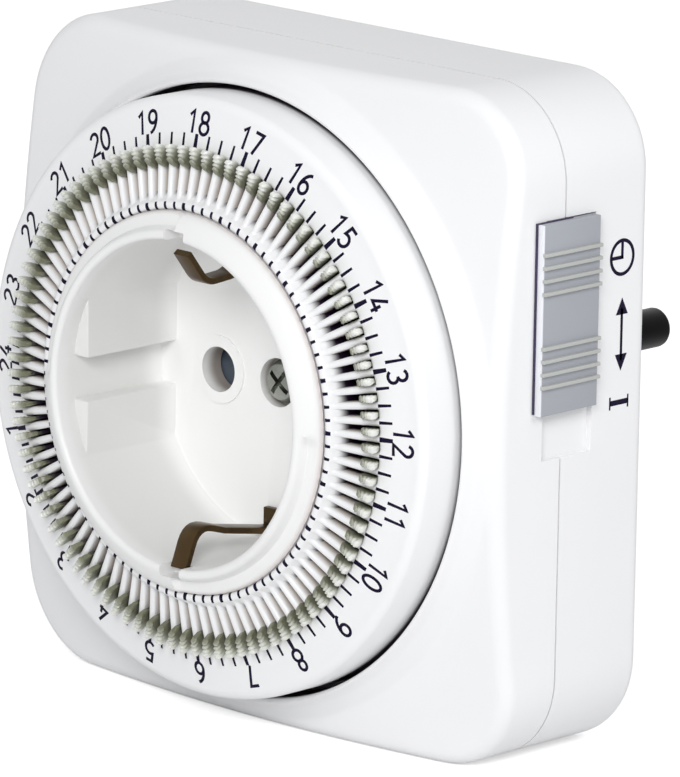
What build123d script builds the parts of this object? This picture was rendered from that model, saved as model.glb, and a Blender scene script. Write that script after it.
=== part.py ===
from build123d import *
import math
import os

os.makedirs("parts", exist_ok=True)

# 24 hour plug-in timer switch with a segment dial. All sizes are in millimetres.
# The origin is the centre of the plug's front face. +Y runs into the wall, -Y to the user,
# +Z is up and +X is to the right as the user sees the dial. Angles are counted from +X to +Z.

# Housing
HOUSING_WIDTH = 79.0
HOUSING_CORNER_R = 10.8
HOUSING_WALL = 2.0
BACK_EDGE_CHAMFER = 1.3
FRONT_EDGE_CHAMFER = 0.7
PLUG_LENGTH = 17.0
REAR_SHELL_DEPTH = 14.5
FRONT_SHELL_DEPTH = 10.6
FACE_FALL = 3.1
LIP_HEIGHT = 2.3
LIP_WIDTH = 2.6
LIP_TO_SIDE = 0.9
RECESS_FLOOR = 1.6
RECESS_SET_BACK = 4.5
MATING_GAP = 0.1

# Screws that join the two shells, put in from the back
CORNER_SCREW_INSET = 6.9
CORNER_BOSS_WIDTH = 7.0
FRONT_BOSS_WIDTH = 5.6
SCREW_HEAD_R = 2.4
SCREW_HEAD_H = 1.6
SCREW_SHANK_R = 1.3
SCREW_SHANK_LENGTH = 13.0
SCREW_SINK = 3.2
SCREW_CLEARANCE = 0.1
SCREW_SLOT_WIDTH = 0.7
SCREW_SLOT_DEPTH = 0.8

# Socket insert
SOCKET_DEPTH = 17.5
SOCKET_R = 19.2
SOCKET_WALL = 1.7
SOCKET_FLOOR = 2.8
SOCKET_SET_BACK = 2.8
COLLAR_R = 22.6
COLLAR_DROP = 2.2
RIM_NARROWING = 0.7
GUIDE_FLAT_X = 16.8
GUIDE_GAP = 5.2
GUIDE_SPAN = 19.4
GUIDE_SINK = 3.0
PIN_SPACING = 19.0
PIN_HOLE_R = 2.7
RIM_NOTCH_WIDTH = 3.2
RIM_NOTCH_DEPTH = 2.6
TUBE_WALL = 0.8

# Plug
PLUG_R = 18.5
PLUG_FACE_WALL = 3.0
PLUG_CAVITY_R = 14.2
PLUG_EDGE_CHAMFER = 0.8
PLUG_PIN_R = 2.4
PLUG_PIN_LENGTH = 19.0
PLUG_PIN_TIP = 1.3
PLUG_PIN_INNER = 1.0
PLUG_PIN_ROOT_R = 2.2
PLUG_PIN_FOOT = 0.3
PLUG_PIN_RELIEF = 0.1
PLUG_PIN_RELIEF_DEPTH = 0.4
PLUG_GROOVE_CLEARANCE = 0.2

# Central screw and its boss
CENTRE_SCREW_R = 1.5
CENTRE_HEAD_R = 2.6
CENTRE_HEAD_H = 1.2
CENTRE_SCREW_LENGTH = 12.0
CENTRE_BOSS_R = 3.4
CENTRE_RECESS_DEPTH = 1.6

# Earth clips and straps
CLIP_WIDTH = 2.4
CLIP_THICKNESS = 0.8
CLIP_ARM_Z = 17.3
CLIP_BULGE_Z = 15.4
CLIP_TIP_Z = 18.4
CLIP_TIP_SINK = 2.4
CLIP_BULGE_SINK = 6.3
CLIP_SLOT_CLEARANCE = 0.3
STRAP_THICKNESS = 0.6
STRAP_WIDTH = 5.0
PLUG_EARTH_Z = 17.5
PLUG_EARTH_TIP = 2.0

# Contact sleeves
SLEEVE_BORE_R = 2.5
SLEEVE_WALL = 0.7
SLEEVE_LENGTH = 8.6
SLEEVE_SLIT = 0.8

# Shutter
SHUTTER_LENGTH = 26.4
SHUTTER_WIDTH = 5.8
SHUTTER_HUB = 9.6
SHUTTER_THICKNESS = 1.5
SHUTTER_GAP = 0.2
SHUTTER_RAMP_SLOPE = 14.0
SPRING_WIRE = 0.6
SPRING_LEG = 8.0

# Dial
DIAL_EDGE_GAP = 0.7
DIAL_BORE_GAP = 0.1
DIAL_FLOOR_GAP = 0.4
DIAL_SLOPE = 0.226
DIAL_EDGE_CHAMFER = 1.0
DIAL_COLLAR_GAP = 0.1
SLOT_COUNT = 96
SLOT_WIDTH = 0.84
SLOT_INWARD = 1.1
SLOT_OUTWARD = 4.3
SLOT_PHASE = 1.28 + 1.875
HOURS = 24

# Dial gear and drive pinion
DIAL_GEAR_TEETH = 56
DIAL_GEAR_SKIRT = 1.95
DRIVE_PINION_TEETH = 7
DRIVE_PINION_WIDTH = 2.9
DRIVE_ANGLE = -82.0
DRIVE_SHAFT_R = 1.2

# Reduction gears
TRAIN_MODULE = 0.64
PINION_TEETH = 7
WHEEL_TEETH = 21
GEAR_THICKNESS = 1.0
GEAR_LAYER_GAP = 0.4
AXLE_R = 0.6
RUNNING_GAP = 0.06
PRESSURE_ANGLE = 25.0
ADDENDUM = 0.8
DEDENDUM = 1.0
BACKLASH = 0.12
TRAIN_TURN_1 = 183.0
TRAIN_TURN_2 = 160.0
CLUTCH_FLANGE_R = 2.4
CLUTCH_FLANGE = 0.6

# Motor
MOTOR_R = 10.0
MOTOR_LENGTH = 11.0
MOTOR_BORE = 3.0
AXLE_DEPTH = 2.0
ROTOR_SHAFT_R = 0.75

# Segments, which the user tips one by one in their slots
PIVOT_R = 25.5
PIVOT_DEPTH = 7.2
PIVOT_RING = 0.9
PIVOT_CLEARANCE = 0.12
SEGMENT_LEAN = 25.2
SEGMENT_THICKNESS = 0.4
SEGMENT_NECK = 6.85
SEGMENT_TAIL = 3.2
SEGMENT_INNER = 1.2
SEGMENT_OUTER = 1.35
SEGMENT_HOOK = 0.9
HEAD_WIDTH = 1.05
HEAD_TIP_WIDTH = 0.65
HEAD_HEIGHT = 1.75

# Switch lever, its nose and the contacts
LEVER_PIVOT_Z = 20.5
LEVER_X = 25.5
LEVER_WIDTH = 4.8
LEVER_THICKNESS = 2.0
LEVER_END_Z = 5.0
LEVER_FLOOR_GAP = 2.2
TRUNNION_R = 0.9
LUG_THICKNESS = 1.2
NOSE_OUTWARD = 0.75
NOSE_SLOT = 6
NOSE_WIDTH = 1.8
NOSE_TIP_WIDTH = 0.7
NOSE_TIP_RADIAL = 0.9
NOSE_TIP_DEPTH = 2.7
CONTACT_BLADE = 0.3
CONTACT_BLADE_WIDTH = 4.0
CONTACT_ROOT_Z = -12.2
CONTACT_TIP_Z = 8.0
CONTACT_RIVET_WIDTH = 2.6
CONTACT_RIVET_H = 0.7
CONTACT_GAP = 1.1

# Override slider on the right side
SLIDER_Z_LOW = 2.9
SLIDER_Z_HIGH = 25.0
SLIDER_TRAVEL = 5.2
SLIDER_CAP_WIDTH = 9.5
SLIDER_CAP_OFFSET = -0.05
SLIDER_NECK_OFFSET = 0.3
SLIDER_PROUD = 1.15
SLIDER_LIFT = 0.2
SLIDER_POCKET = 0.7
SLIDER_POCKET_INSET = 0.3
SLIDER_POCKET_SPARE = 0.4
SLIDER_POCKET_SIDE = 0.4
SLIDER_NECK_WIDTH = 7.5
SLIDER_NECK_LOW = 9.0
SLIDER_NECK_HIGH = 19.0
SLIDER_RIB = 0.42
SLIDER_RIB_PITCH = 1.5
SLIDER_RIB_PROUD = 0.45
SLIDER_RIBS = 4
SLIDER_RIB_START = 3.4
SLIDER_GAP = 0.15
SLIDER_CARRIAGE = 1.9
SLIDER_LIP = 1.5
CAM_X = 29.6
CAM_TIP_Z = 13.6
CAM_LIFT = 0.7

# Levels along the plug axis
back_y = -PLUG_LENGTH
parting_y = back_y - REAR_SHELL_DEPTH
lip_foot_y = parting_y - FRONT_SHELL_DEPTH
lip_crest_y = lip_foot_y - LIP_HEIGHT
inner_back_y = back_y - HOUSING_WALL
floor_back_y = parting_y - RECESS_SET_BACK
floor_front_y = floor_back_y - RECESS_FLOOR
socket_back_y = parting_y - SOCKET_SET_BACK
socket_floor_y = socket_back_y - SOCKET_FLOOR
rim_y = socket_floor_y - SOCKET_DEPTH
collar_y = rim_y + COLLAR_DROP
dial_back_y = floor_front_y - DIAL_FLOOR_GAP
dial_inner_y = collar_y + DIAL_COLLAR_GAP
pivot_y = dial_back_y - PIVOT_DEPTH
rib_back_y = pivot_y - PIVOT_RING / 2
plug_cavity_y = -PLUG_FACE_WALL
shutter_front_y = socket_back_y + SHUTTER_GAP
shutter_back_y = shutter_front_y + SHUTTER_THICKNESS
sleeve_front_y = shutter_back_y + SHUTTER_GAP
sleeve_back_y = sleeve_front_y + SLEEVE_LENGTH
strap_level_y = sleeve_back_y + STRAP_THICKNESS
line_level_y = inner_back_y - 0.8
fixed_level_y = strap_level_y - 1.2
blade_back_y = fixed_level_y - STRAP_THICKNESS - 2 * CONTACT_RIVET_H - CONTACT_GAP
blade_front_y = blade_back_y - CONTACT_BLADE
lever_front_y = floor_back_y + LEVER_FLOOR_GAP
lever_back_y = lever_front_y + LEVER_THICKNESS
lever_pivot_y = lever_back_y - LEVER_THICKNESS / 2

# Widths of the slider's neck and cap, and of the pocket below the cap
slider_y = parting_y + SLIDER_NECK_OFFSET
slider_cap_middle = parting_y + SLIDER_CAP_OFFSET
slider_cap_y = (slider_cap_middle - SLIDER_CAP_WIDTH / 2, slider_cap_middle + SLIDER_CAP_WIDTH / 2)
slider_pocket_y = (
    slider_y - SLIDER_NECK_WIDTH / 2 + SLIDER_POCKET_INSET,
    max(slider_cap_y[1], slider_y + SLIDER_NECK_WIDTH / 2) + SLIDER_POCKET_SIDE,
)

# Widths and radii
half_width = HOUSING_WIDTH / 2
inner_half = half_width - HOUSING_WALL
face_r = (half_width - HOUSING_CORNER_R) * math.sqrt(2) + HOUSING_CORNER_R + MATING_GAP
recess_r = half_width - LIP_TO_SIDE - LIP_WIDTH
corner_screw_offset = half_width - CORNER_SCREW_INSET
dial_r = recess_r - DIAL_EDGE_GAP
dial_shoulder_r = dial_r - DIAL_EDGE_CHAMFER
dial_gear_module = 2 * (dial_r - DIAL_GEAR_SKIRT) / (DIAL_GEAR_TEETH + 2 * DEDENDUM)
slot_inner_r = PIVOT_R - SLOT_INWARD
slot_outer_r = PIVOT_R + SLOT_OUTWARD
nose_r = PIVOT_R + NOSE_OUTWARD
socket_outer_r = SOCKET_R + SOCKET_WALL
tube_inner_r = socket_outer_r + MATING_GAP
tube_outer_r = tube_inner_r + TUBE_WALL
pin_x = PIN_SPACING / 2
slot_pitch = 360.0 / SLOT_COUNT


def prism(sketch, y_front, y_back):
    """A solid with the sketch's front view, from y_front back to y_back."""
    plane = Plane(origin=(0, y_back, 0), x_dir=(1, 0, 0), z_dir=(0, -1, 0))
    return extrude(plane * sketch, amount=y_back - y_front)


def disc(radius, y_front, y_back, centre=(0, 0)):
    """A round bar along Y, with its axis through the centre (x, z)."""
    return prism(Pos(*centre) * Circle(radius), y_front, y_back)


def tube(outer_r, inner_r, y_front, y_back, centre=(0, 0)):
    """A round tube along Y."""
    return prism(Pos(*centre) * (Circle(outer_r) - Circle(inner_r)), y_front, y_back)


def turned(points):
    """A solid of revolution about the dial axis from a closed outline of (radius, y)."""
    return revolve(make_face(Polyline(*points, close=True)), axis=Axis.Y)


def block(x_range, y_range, z_range):
    """A box between three pairs of limits."""
    size = [high - low for low, high in (x_range, y_range, z_range)]
    centre = [(high + low) / 2 for low, high in (x_range, y_range, z_range)]
    return Pos(*centre) * Box(*size)


def post(width, y_front, y_back, centre):
    """A square post along Y."""
    return prism(Pos(*centre) * Rectangle(width, width), y_front, y_back)


def side_disc(radius, x_range, y, z):
    """A round bar along X."""
    length = x_range[1] - x_range[0]
    middle = (x_range[1] + x_range[0]) / 2
    return Pos(middle, y, z) * Rot(0, 90, 0) * Cylinder(radius, length)


def polar(radius, angle):
    """The point (x, z) of the front view at a radius and an angle in degrees."""
    turn = math.radians(angle)
    return (radius * math.cos(turn), radius * math.sin(turn))


def step_from(point, distance, angle):
    """The point at a distance and a direction from another point of the front view."""
    dx, dz = polar(distance, angle)
    return (point[0] + dx, point[1] + dz)


def bent_strip(path, thickness, width, plane):
    """Flat metal strip bent along a path in the plane, with mitred bends."""
    left, right = [], []
    for i, (px, py) in enumerate(path):
        headings = []
        if i > 0:
            headings.append(math.atan2(py - path[i - 1][1], px - path[i - 1][0]))
        if i + 1 < len(path):
            headings.append(math.atan2(path[i + 1][1] - py, path[i + 1][0] - px))
        turn = math.remainder(headings[-1] - headings[0], 2 * math.pi)
        heading = headings[0] + turn / 2
        reach = thickness / 2 / math.cos(turn / 2)
        nx, ny = -math.sin(heading) * reach, math.cos(heading) * reach
        left.append((px + nx, py + ny))
        right.append((px - nx, py - ny))
    outline = make_face(Polyline(*(left + right[::-1]), close=True))
    return extrude(plane * outline, amount=width / 2, both=True)


def housing_outline(inset=0.0):
    """The housing's rounded square, drawn smaller by an inset."""
    side = HOUSING_WIDTH - 2 * inset
    return RectangleRounded(side, side, HOUSING_CORNER_R - inset)


def outline_edges(solid, y_low, y_high):
    """Edges that run round the housing's outline between two levels."""
    straight = half_width - HOUSING_CORNER_R
    found = []
    for edge in solid.edges():
        points = [edge.position_at(t) for t in (0.1, 0.5, 0.9)]
        on_outline = True
        for point in points:
            over_x = max(abs(point.X) - straight, 0)
            over_z = max(abs(point.Z) - straight, 0)
            if abs(math.hypot(over_x, over_z) - HOUSING_CORNER_R) > 0.01:
                on_outline = False
            if not y_low < point.Y < y_high:
                on_outline = False
        if on_outline and abs(points[0].Y - points[2].Y) < 0.8 * edge.length:
            found.append(edge)
    return found


# Gears

def involute(angle):
    return math.tan(angle) - angle


def gear_outline(teeth, module, tip_r, root_r, thickness_change, phase):
    """Tooth outline with straight flanks between root and tip, as a list of (x, z)."""
    pitch_r = teeth * module / 2
    pressure = math.radians(PRESSURE_ANGLE)
    base_r = pitch_r * math.cos(pressure)
    half_base = (math.pi * module / 2 + thickness_change) / 2 / pitch_r + involute(pressure)

    def half_angle(radius):
        if radius <= base_r:
            return half_base
        return half_base - involute(math.acos(base_r / radius))

    points = []
    for i in range(teeth):
        middle = math.radians(phase) + 2 * math.pi * i / teeth
        for side, radius in ((-1, root_r), (-1, tip_r), (1, tip_r), (1, root_r)):
            turn = middle + side * half_angle(radius)
            points.append((radius * math.cos(turn), radius * math.sin(turn)))
    return points


def gear_face(teeth, module, phase, centre):
    """The front view of an external gear, with a tooth at the phase angle."""
    pitch_r = teeth * module / 2
    tip_r = pitch_r + ADDENDUM * module
    root_r = pitch_r - DEDENDUM * module
    points = gear_outline(teeth, module, tip_r, root_r, -BACKLASH * module, phase)
    return Pos(*centre) * make_face(Polyline(*points, close=True))


# Places of the gear train in the front view, from the dial's pinion back to the motor
drive_centre_r = (DIAL_GEAR_TEETH - DRIVE_PINION_TEETH) * dial_gear_module / 2
train_spacing = (PINION_TEETH + WHEEL_TEETH) * TRAIN_MODULE / 2
drive_centre = polar(drive_centre_r, DRIVE_ANGLE)
gear_centre = step_from(drive_centre, train_spacing, TRAIN_TURN_1)
motor_centre = step_from(gear_centre, train_spacing, TRAIN_TURN_2)
wheel_space = 180.0 / WHEEL_TEETH

# Levels of the gear train, counted from the motor
motor_back_y = inner_back_y - 0.5
motor_front_y = motor_back_y - MOTOR_LENGTH
motor_bore_y = motor_front_y + MOTOR_BORE
rear_layer_back = motor_front_y - GEAR_LAYER_GAP
rear_layer_front = rear_layer_back - GEAR_THICKNESS
front_layer_back = rear_layer_front - GEAR_LAYER_GAP
front_layer_front = front_layer_back - GEAR_THICKNESS
shaft_end_y = front_layer_front - 0.3


# Housing shells

def face_cone():
    """Everything behind the sloping front face, lip included."""
    lip_foot_r = recess_r + LIP_WIDTH
    return turned(
        [
            (0, parting_y),
            (face_r, parting_y),
            (face_r, lip_foot_y + FACE_FALL),
            (lip_foot_r, lip_foot_y),
            (recess_r, lip_crest_y),
            (0, lip_crest_y),
        ]
    )


def front_shell():
    """Front cover: sloping face, raised lip, dial recess and the tube that the dial turns on."""
    shell = prism(housing_outline(), lip_crest_y - 1, parting_y) & face_cone()
    shell = chamfer(outline_edges(shell, lip_crest_y, parting_y - 1), FRONT_EDGE_CHAMFER)
    shell -= prism(housing_outline(HOUSING_WALL), floor_back_y, parting_y)
    shell -= disc(recess_r, lip_crest_y - 1, floor_front_y)
    shell += tube(tube_outer_r, tube_inner_r, collar_y + MATING_GAP, floor_back_y)
    shell -= disc(tube_inner_r, collar_y - 1, parting_y)
    for sign in (-1, 1):
        place = (sign * corner_screw_offset, -sign * corner_screw_offset)
        shell += post(FRONT_BOSS_WIDTH, parting_y, floor_back_y - 0.5, place)
        hole_front_y = back_y - SCREW_SINK - SCREW_SHANK_LENGTH - 1
        shell -= disc(SCREW_SHANK_R + SCREW_CLEARANCE / 2, hole_front_y, parting_y, place)
    shell -= disc(DRIVE_SHAFT_R + RUNNING_GAP, floor_front_y - 1, floor_back_y + 1, drive_centre)
    return shell - nose_window() + lever_lugs() - slider_pocket()


def rear_shell():
    """Rear cover with the plug body moulded on, screw bosses and gear posts."""
    shell = prism(housing_outline(), parting_y, back_y)
    shell = chamfer(outline_edges(shell, back_y - 0.1, back_y + 0.1), BACK_EDGE_CHAMFER)
    shell -= prism(housing_outline(HOUSING_WALL), parting_y, inner_back_y)
    shell += plug_body()
    shell -= disc(PLUG_CAVITY_R, inner_back_y - 1, plug_cavity_y)
    shell += disc(CENTRE_BOSS_R, socket_back_y + MATING_GAP, plug_cavity_y)
    screw_end = socket_floor_y + CENTRE_RECESS_DEPTH + CENTRE_SCREW_LENGTH + 1
    shell -= disc(CENTRE_SCREW_R + SCREW_CLEARANCE, socket_back_y, screw_end)
    for sign in (-1, 1):
        place = (sign * corner_screw_offset, -sign * corner_screw_offset)
        shell += post(CORNER_BOSS_WIDTH, parting_y, inner_back_y, place)
        shell -= disc(SCREW_SHANK_R + SCREW_CLEARANCE, parting_y - 1, back_y, place)
        shell -= disc(SCREW_HEAD_R + SCREW_CLEARANCE, back_y - SCREW_SINK, back_y + 1, place)
    shell += post(2 * MOTOR_R - 6, motor_back_y, inner_back_y, motor_centre)
    shell += drive_shaft_post() + contact_rests()
    half_slot = CLIP_WIDTH / 2 + CLIP_SLOT_CLEARANCE
    for side in (-1, 1):
        slot_z = sorted((side * (PLUG_EARTH_Z - 0.6), side * (PLUG_EARTH_Z + 1.1)))
        shell -= block((-half_slot, half_slot), (inner_back_y - 1, back_y + 1), slot_z)
        root_hole_r = PLUG_PIN_ROOT_R + SCREW_CLEARANCE / 2
        relief_r = PLUG_PIN_R + PLUG_PIN_RELIEF
        shell -= disc(root_hole_r, plug_cavity_y - 1, 1, (side * pin_x, 0))
        shell -= disc(relief_r, -PLUG_PIN_RELIEF_DEPTH, 1, (side * pin_x, 0))
    return shell - slider_pocket()


def plug_body():
    """Round plug body with guide grooves at the sides and earth recesses above and below."""
    body = disc(PLUG_R, inner_back_y, 0)
    body = chamfer(body.edges().sort_by(Axis.Y)[-1], PLUG_EDGE_CHAMFER)
    groove_x = GUIDE_FLAT_X - PLUG_GROOVE_CLEARANCE
    groove_low = GUIDE_GAP / 2 - PLUG_GROOVE_CLEARANCE
    groove_high = GUIDE_SPAN / 2 + PLUG_GROOVE_CLEARANCE
    half_recess = CLIP_WIDTH / 2 + 1.2
    for side in (-1, 1):
        x_range = sorted((side * groove_x, side * (PLUG_R + 1)))
        for up in (-1, 1):
            z_range = sorted((up * groove_low, up * groove_high))
            body -= block(x_range, (back_y, 1), z_range)
        z_range = sorted((side * (PLUG_EARTH_Z - 0.6), side * (PLUG_R + 1)))
        body -= block((-half_recess, half_recess), (back_y, 1), z_range)
    return body


def drive_shaft_post():
    """Post on the rear cover with the rear bearing of the drive shaft."""
    front_y = rear_layer_back + 1.6
    bearing = disc(DRIVE_SHAFT_R + RUNNING_GAP, front_y - 1, inner_back_y - 1, drive_centre)
    return post(5.0, front_y, inner_back_y, drive_centre) - bearing


def contact_rests():
    """Ribs on the rear cover under the line busbar and the switch strap."""
    busbar = block((17.0, 19.0), (line_level_y, inner_back_y), (-2.5, 2.5))
    strap = block((15.0, 22.0), (strap_level_y, inner_back_y), (-15.2, -13.0))
    anvil = block((24.4, 26.6), (fixed_level_y, inner_back_y), (-1.5, 1.5))
    return busbar + strap + anvil


# Socket

def socket_insert():
    """Round socket cup with its collar, guide blocks, pin holes and clip slots."""
    cup = turned(
        [
            (0, socket_floor_y),
            (0, socket_back_y),
            (socket_outer_r, socket_back_y),
            (socket_outer_r, collar_y),
            (COLLAR_R, collar_y),
            (socket_outer_r - RIM_NARROWING, rim_y),
            (SOCKET_R, rim_y),
            (SOCKET_R, socket_floor_y),
        ]
    )
    for side in (-1, 1):
        x_range = sorted((side * GUIDE_FLAT_X, side * (SOCKET_R + 0.4)))
        for up in (-1, 1):
            z_range = sorted((up * GUIDE_GAP / 2, up * GUIDE_SPAN / 2))
            guide = block(x_range, (rim_y + GUIDE_SINK, socket_floor_y), z_range)
            cup += guide & disc(SOCKET_R + 0.4, rim_y, socket_floor_y)
        cup -= disc(PIN_HOLE_R, rim_y, socket_back_y + 1, (side * pin_x, 0))
    cup -= disc(CENTRE_HEAD_R + 0.3, rim_y, socket_floor_y + CENTRE_RECESS_DEPTH)
    cup -= disc(CENTRE_SCREW_R + SCREW_CLEARANCE, rim_y, socket_back_y + 1)
    half_notch = RIM_NOTCH_WIDTH / 2
    half_slot = CLIP_WIDTH / 2 + CLIP_SLOT_CLEARANCE
    slot_reach = CLIP_THICKNESS / 2 + CLIP_SLOT_CLEARANCE
    for side in (-1, 1):
        notch_z = sorted((side * (SOCKET_R - 3), side * (socket_outer_r - 0.5)))
        cup -= block((-half_notch, half_notch), (rim_y - 1, rim_y + RIM_NOTCH_DEPTH), notch_z)
        slot_z = sorted((side * (CLIP_ARM_Z - slot_reach), side * (CLIP_ARM_Z + slot_reach)))
        cup -= block((-half_slot, half_slot), (rim_y, socket_back_y + 1), slot_z)
    return cup


def socket_screw():
    """Cross-head screw through the socket floor into the rear cover."""
    head_back_y = socket_floor_y + CENTRE_RECESS_DEPTH
    head_front_y = head_back_y - CENTRE_HEAD_H
    screw = disc(CENTRE_HEAD_R, head_front_y, head_back_y)
    screw += disc(CENTRE_SCREW_R, head_back_y, head_back_y + CENTRE_SCREW_LENGTH)
    arm = CENTRE_HEAD_R * 0.7
    for size_x, size_z in ((arm, 0.35), (0.35, arm)):
        recess_y = (head_front_y - 1, head_front_y + 0.7)
        screw -= block((-size_x, size_x), recess_y, (-size_z, size_z))
    return screw


def earth_clip(side):
    """One strip: sprung socket clip in front, plug earth contact at the back."""
    foot_y = socket_floor_y - CLIP_THICKNESS / 2 - 0.05
    path = [
        (rim_y + CLIP_TIP_SINK, side * CLIP_TIP_Z),
        (rim_y + CLIP_BULGE_SINK, side * CLIP_BULGE_Z),
        (foot_y - 1.0, side * CLIP_ARM_Z),
        (back_y - 1.0, side * CLIP_ARM_Z),
        (back_y + 0.4, side * (PLUG_EARTH_Z + 0.4)),
        (-PLUG_EARTH_TIP - 2.0, side * (PLUG_EARTH_Z + 0.4)),
        (-PLUG_EARTH_TIP, side * (PLUG_EARTH_Z - 0.1)),
    ]
    clip = bent_strip(path, CLIP_THICKNESS, CLIP_WIDTH, Plane.YZ)
    half = CLIP_WIDTH / 2
    foot_z = sorted((side * (CLIP_ARM_Z + 0.35), side * (CLIP_ARM_Z - 2.4)))
    foot = (foot_y - CLIP_THICKNESS / 2, foot_y + CLIP_THICKNESS / 2)
    return clip + block((-half, half), foot, foot_z)


def earth_cross_strap():
    """Flat strap that joins both earth strips, with a window for the central boss."""
    level = (inner_back_y - 0.1 - STRAP_THICKNESS, inner_back_y - 0.1)
    reach = CLIP_ARM_Z - CLIP_THICKNESS / 2 - 0.02
    window = CENTRE_BOSS_R + MATING_GAP
    frame = window + 2.0
    strap = block((-STRAP_WIDTH / 2, STRAP_WIDTH / 2), level, (-reach, reach))
    strap += block((-frame, frame), level, (-frame, frame))
    return strap - block((-window, window), (level[0] - 1, level[1] + 1), (-window, window))


def contact_sleeve(side):
    """Folded brass sleeve whose flat jaws grip a plug pin, slit above and below."""
    centre = (side * pin_x, 0)
    outer = 2 * (SLEEVE_BORE_R + SLEEVE_WALL)
    outline = Rectangle(outer, outer) - Rectangle(2 * SLEEVE_BORE_R, 2 * SLEEVE_BORE_R)
    sleeve = prism(Pos(*centre) * outline, sleeve_front_y, sleeve_back_y)
    slit_x = (centre[0] - SLEEVE_SLIT / 2, centre[0] + SLEEVE_SLIT / 2)
    return sleeve - block(slit_x, (sleeve_front_y - 1, sleeve_back_y - 2.5), (-outer, outer))


def plug_pin(side):
    """Solid round plug pin with a tapered tip and a thinner root moulded in the plug's face."""
    centre = (side * pin_x, 0)
    pin = disc(PLUG_PIN_R, PLUG_PIN_FOOT, PLUG_PIN_LENGTH, centre)
    pin = chamfer(pin.edges().sort_by(Axis.Y)[-1], PLUG_PIN_TIP)
    return pin + disc(PLUG_PIN_ROOT_R, plug_cavity_y - PLUG_PIN_INNER, PLUG_PIN_FOOT, centre)


def busbar_path(side):
    """Centre line of a busbar from the plug pin's end, beside the pin, as (x, y)."""
    pin_level_y = plug_cavity_y - PLUG_PIN_INNER - STRAP_THICKNESS / 2
    return [(side * (pin_x - 2.0), pin_level_y), (side * (PLUG_CAVITY_R - 1.0), pin_level_y)]


def neutral_busbar():
    """Strip from the neutral pin straight to the neutral sleeve."""
    start, corner = busbar_path(-1)
    foot_y = sleeve_back_y + STRAP_THICKNESS / 2
    path = [start, corner, (corner[0], foot_y), (-pin_x + SLEEVE_BORE_R, foot_y)]
    return bent_strip(path, STRAP_THICKNESS, STRAP_WIDTH, Plane.XY)


def line_busbar():
    """Strip from the line pin to the fixed switch contact, with the contact rivet."""
    start, corner = busbar_path(1)
    level_y = line_level_y - STRAP_THICKNESS / 2
    contact_y = fixed_level_y - STRAP_THICKNESS / 2
    path = [start, corner, (corner[0], level_y), (21.4, level_y)]
    path += [(21.4, contact_y), (LEVER_X + CONTACT_BLADE_WIDTH / 2, contact_y)]
    bar = bent_strip(path, STRAP_THICKNESS, STRAP_WIDTH, Plane.XY)
    rivet_back_y = contact_y - STRAP_THICKNESS / 2
    return bar + post(CONTACT_RIVET_WIDTH, rivet_back_y - CONTACT_RIVET_H, rivet_back_y, (LEVER_X, 0))


def switch_strap():
    """Flat strap from the line sleeve to the post that holds the moving contact."""
    half = CONTACT_BLADE_WIDTH / 2
    root = CONTACT_ROOT_Z - 0.2
    flat = (sleeve_back_y, strap_level_y)
    x_range = (LEVER_X - half, LEVER_X + half)
    leg = block((pin_x - half, pin_x + half), flat, (root - 4, SLEEVE_BORE_R))
    foot = block((pin_x - half, LEVER_X + half), flat, (root - 4, root - 0.2))
    riser = block(x_range, (blade_front_y, sleeve_back_y), (root - 1.2, root))
    ledge = block(x_range, (blade_front_y, blade_back_y), (root - 4, root))
    return leg + foot + riser + ledge


def moving_contact():
    """Sprung contact blade with its rivet, which the lever pushes on to the fixed contact."""
    half = CONTACT_BLADE_WIDTH / 2
    x_range = (LEVER_X - half, LEVER_X + half)
    blade = block(x_range, (blade_front_y, blade_back_y), (CONTACT_ROOT_Z, CONTACT_TIP_Z))
    return blade + post(CONTACT_RIVET_WIDTH, blade_back_y, blade_back_y + CONTACT_RIVET_H, (LEVER_X, 0))


# Switch lever

nose_angle = SLOT_PHASE + (NOSE_SLOT - 0.5) * slot_pitch
nose_tip_y = pivot_y + NOSE_TIP_DEPTH


def lever_lugs():
    """Two lugs behind the recess floor, notched from behind for the lever's trunnions."""
    half = LEVER_WIDTH / 2 + 0.3
    z_range = (LEVER_PIVOT_Z - TRUNNION_R - 1.1, LEVER_PIVOT_Z + TRUNNION_R + 1.1)
    reach = half + LUG_THICKNESS
    lug_y = (floor_back_y, lever_pivot_y + TRUNNION_R + 0.4)
    lugs = block((LEVER_X - reach, LEVER_X + reach), lug_y, z_range)
    lugs -= block((LEVER_X - half, LEVER_X + half), (floor_back_y, lever_pivot_y + 5), z_range)
    notch = TRUNNION_R + RUNNING_GAP
    notch_z = (LEVER_PIVOT_Z - notch, LEVER_PIVOT_Z + notch)
    notch_y = (lever_pivot_y - notch, lever_pivot_y + 5)
    return lugs - block((LEVER_X - 9, LEVER_X + 9), notch_y, notch_z)


def nose_window():
    """Window in the recess floor that the lever's nose reaches through."""
    half = NOSE_WIDTH / 2 + 0.9
    window = block((-half, half), (floor_front_y - 1, floor_back_y + 1), (-half, half))
    x, z = polar(nose_r, nose_angle)
    return Pos(x, 0, z) * Rot(0, -nose_angle, 0) * window


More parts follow.
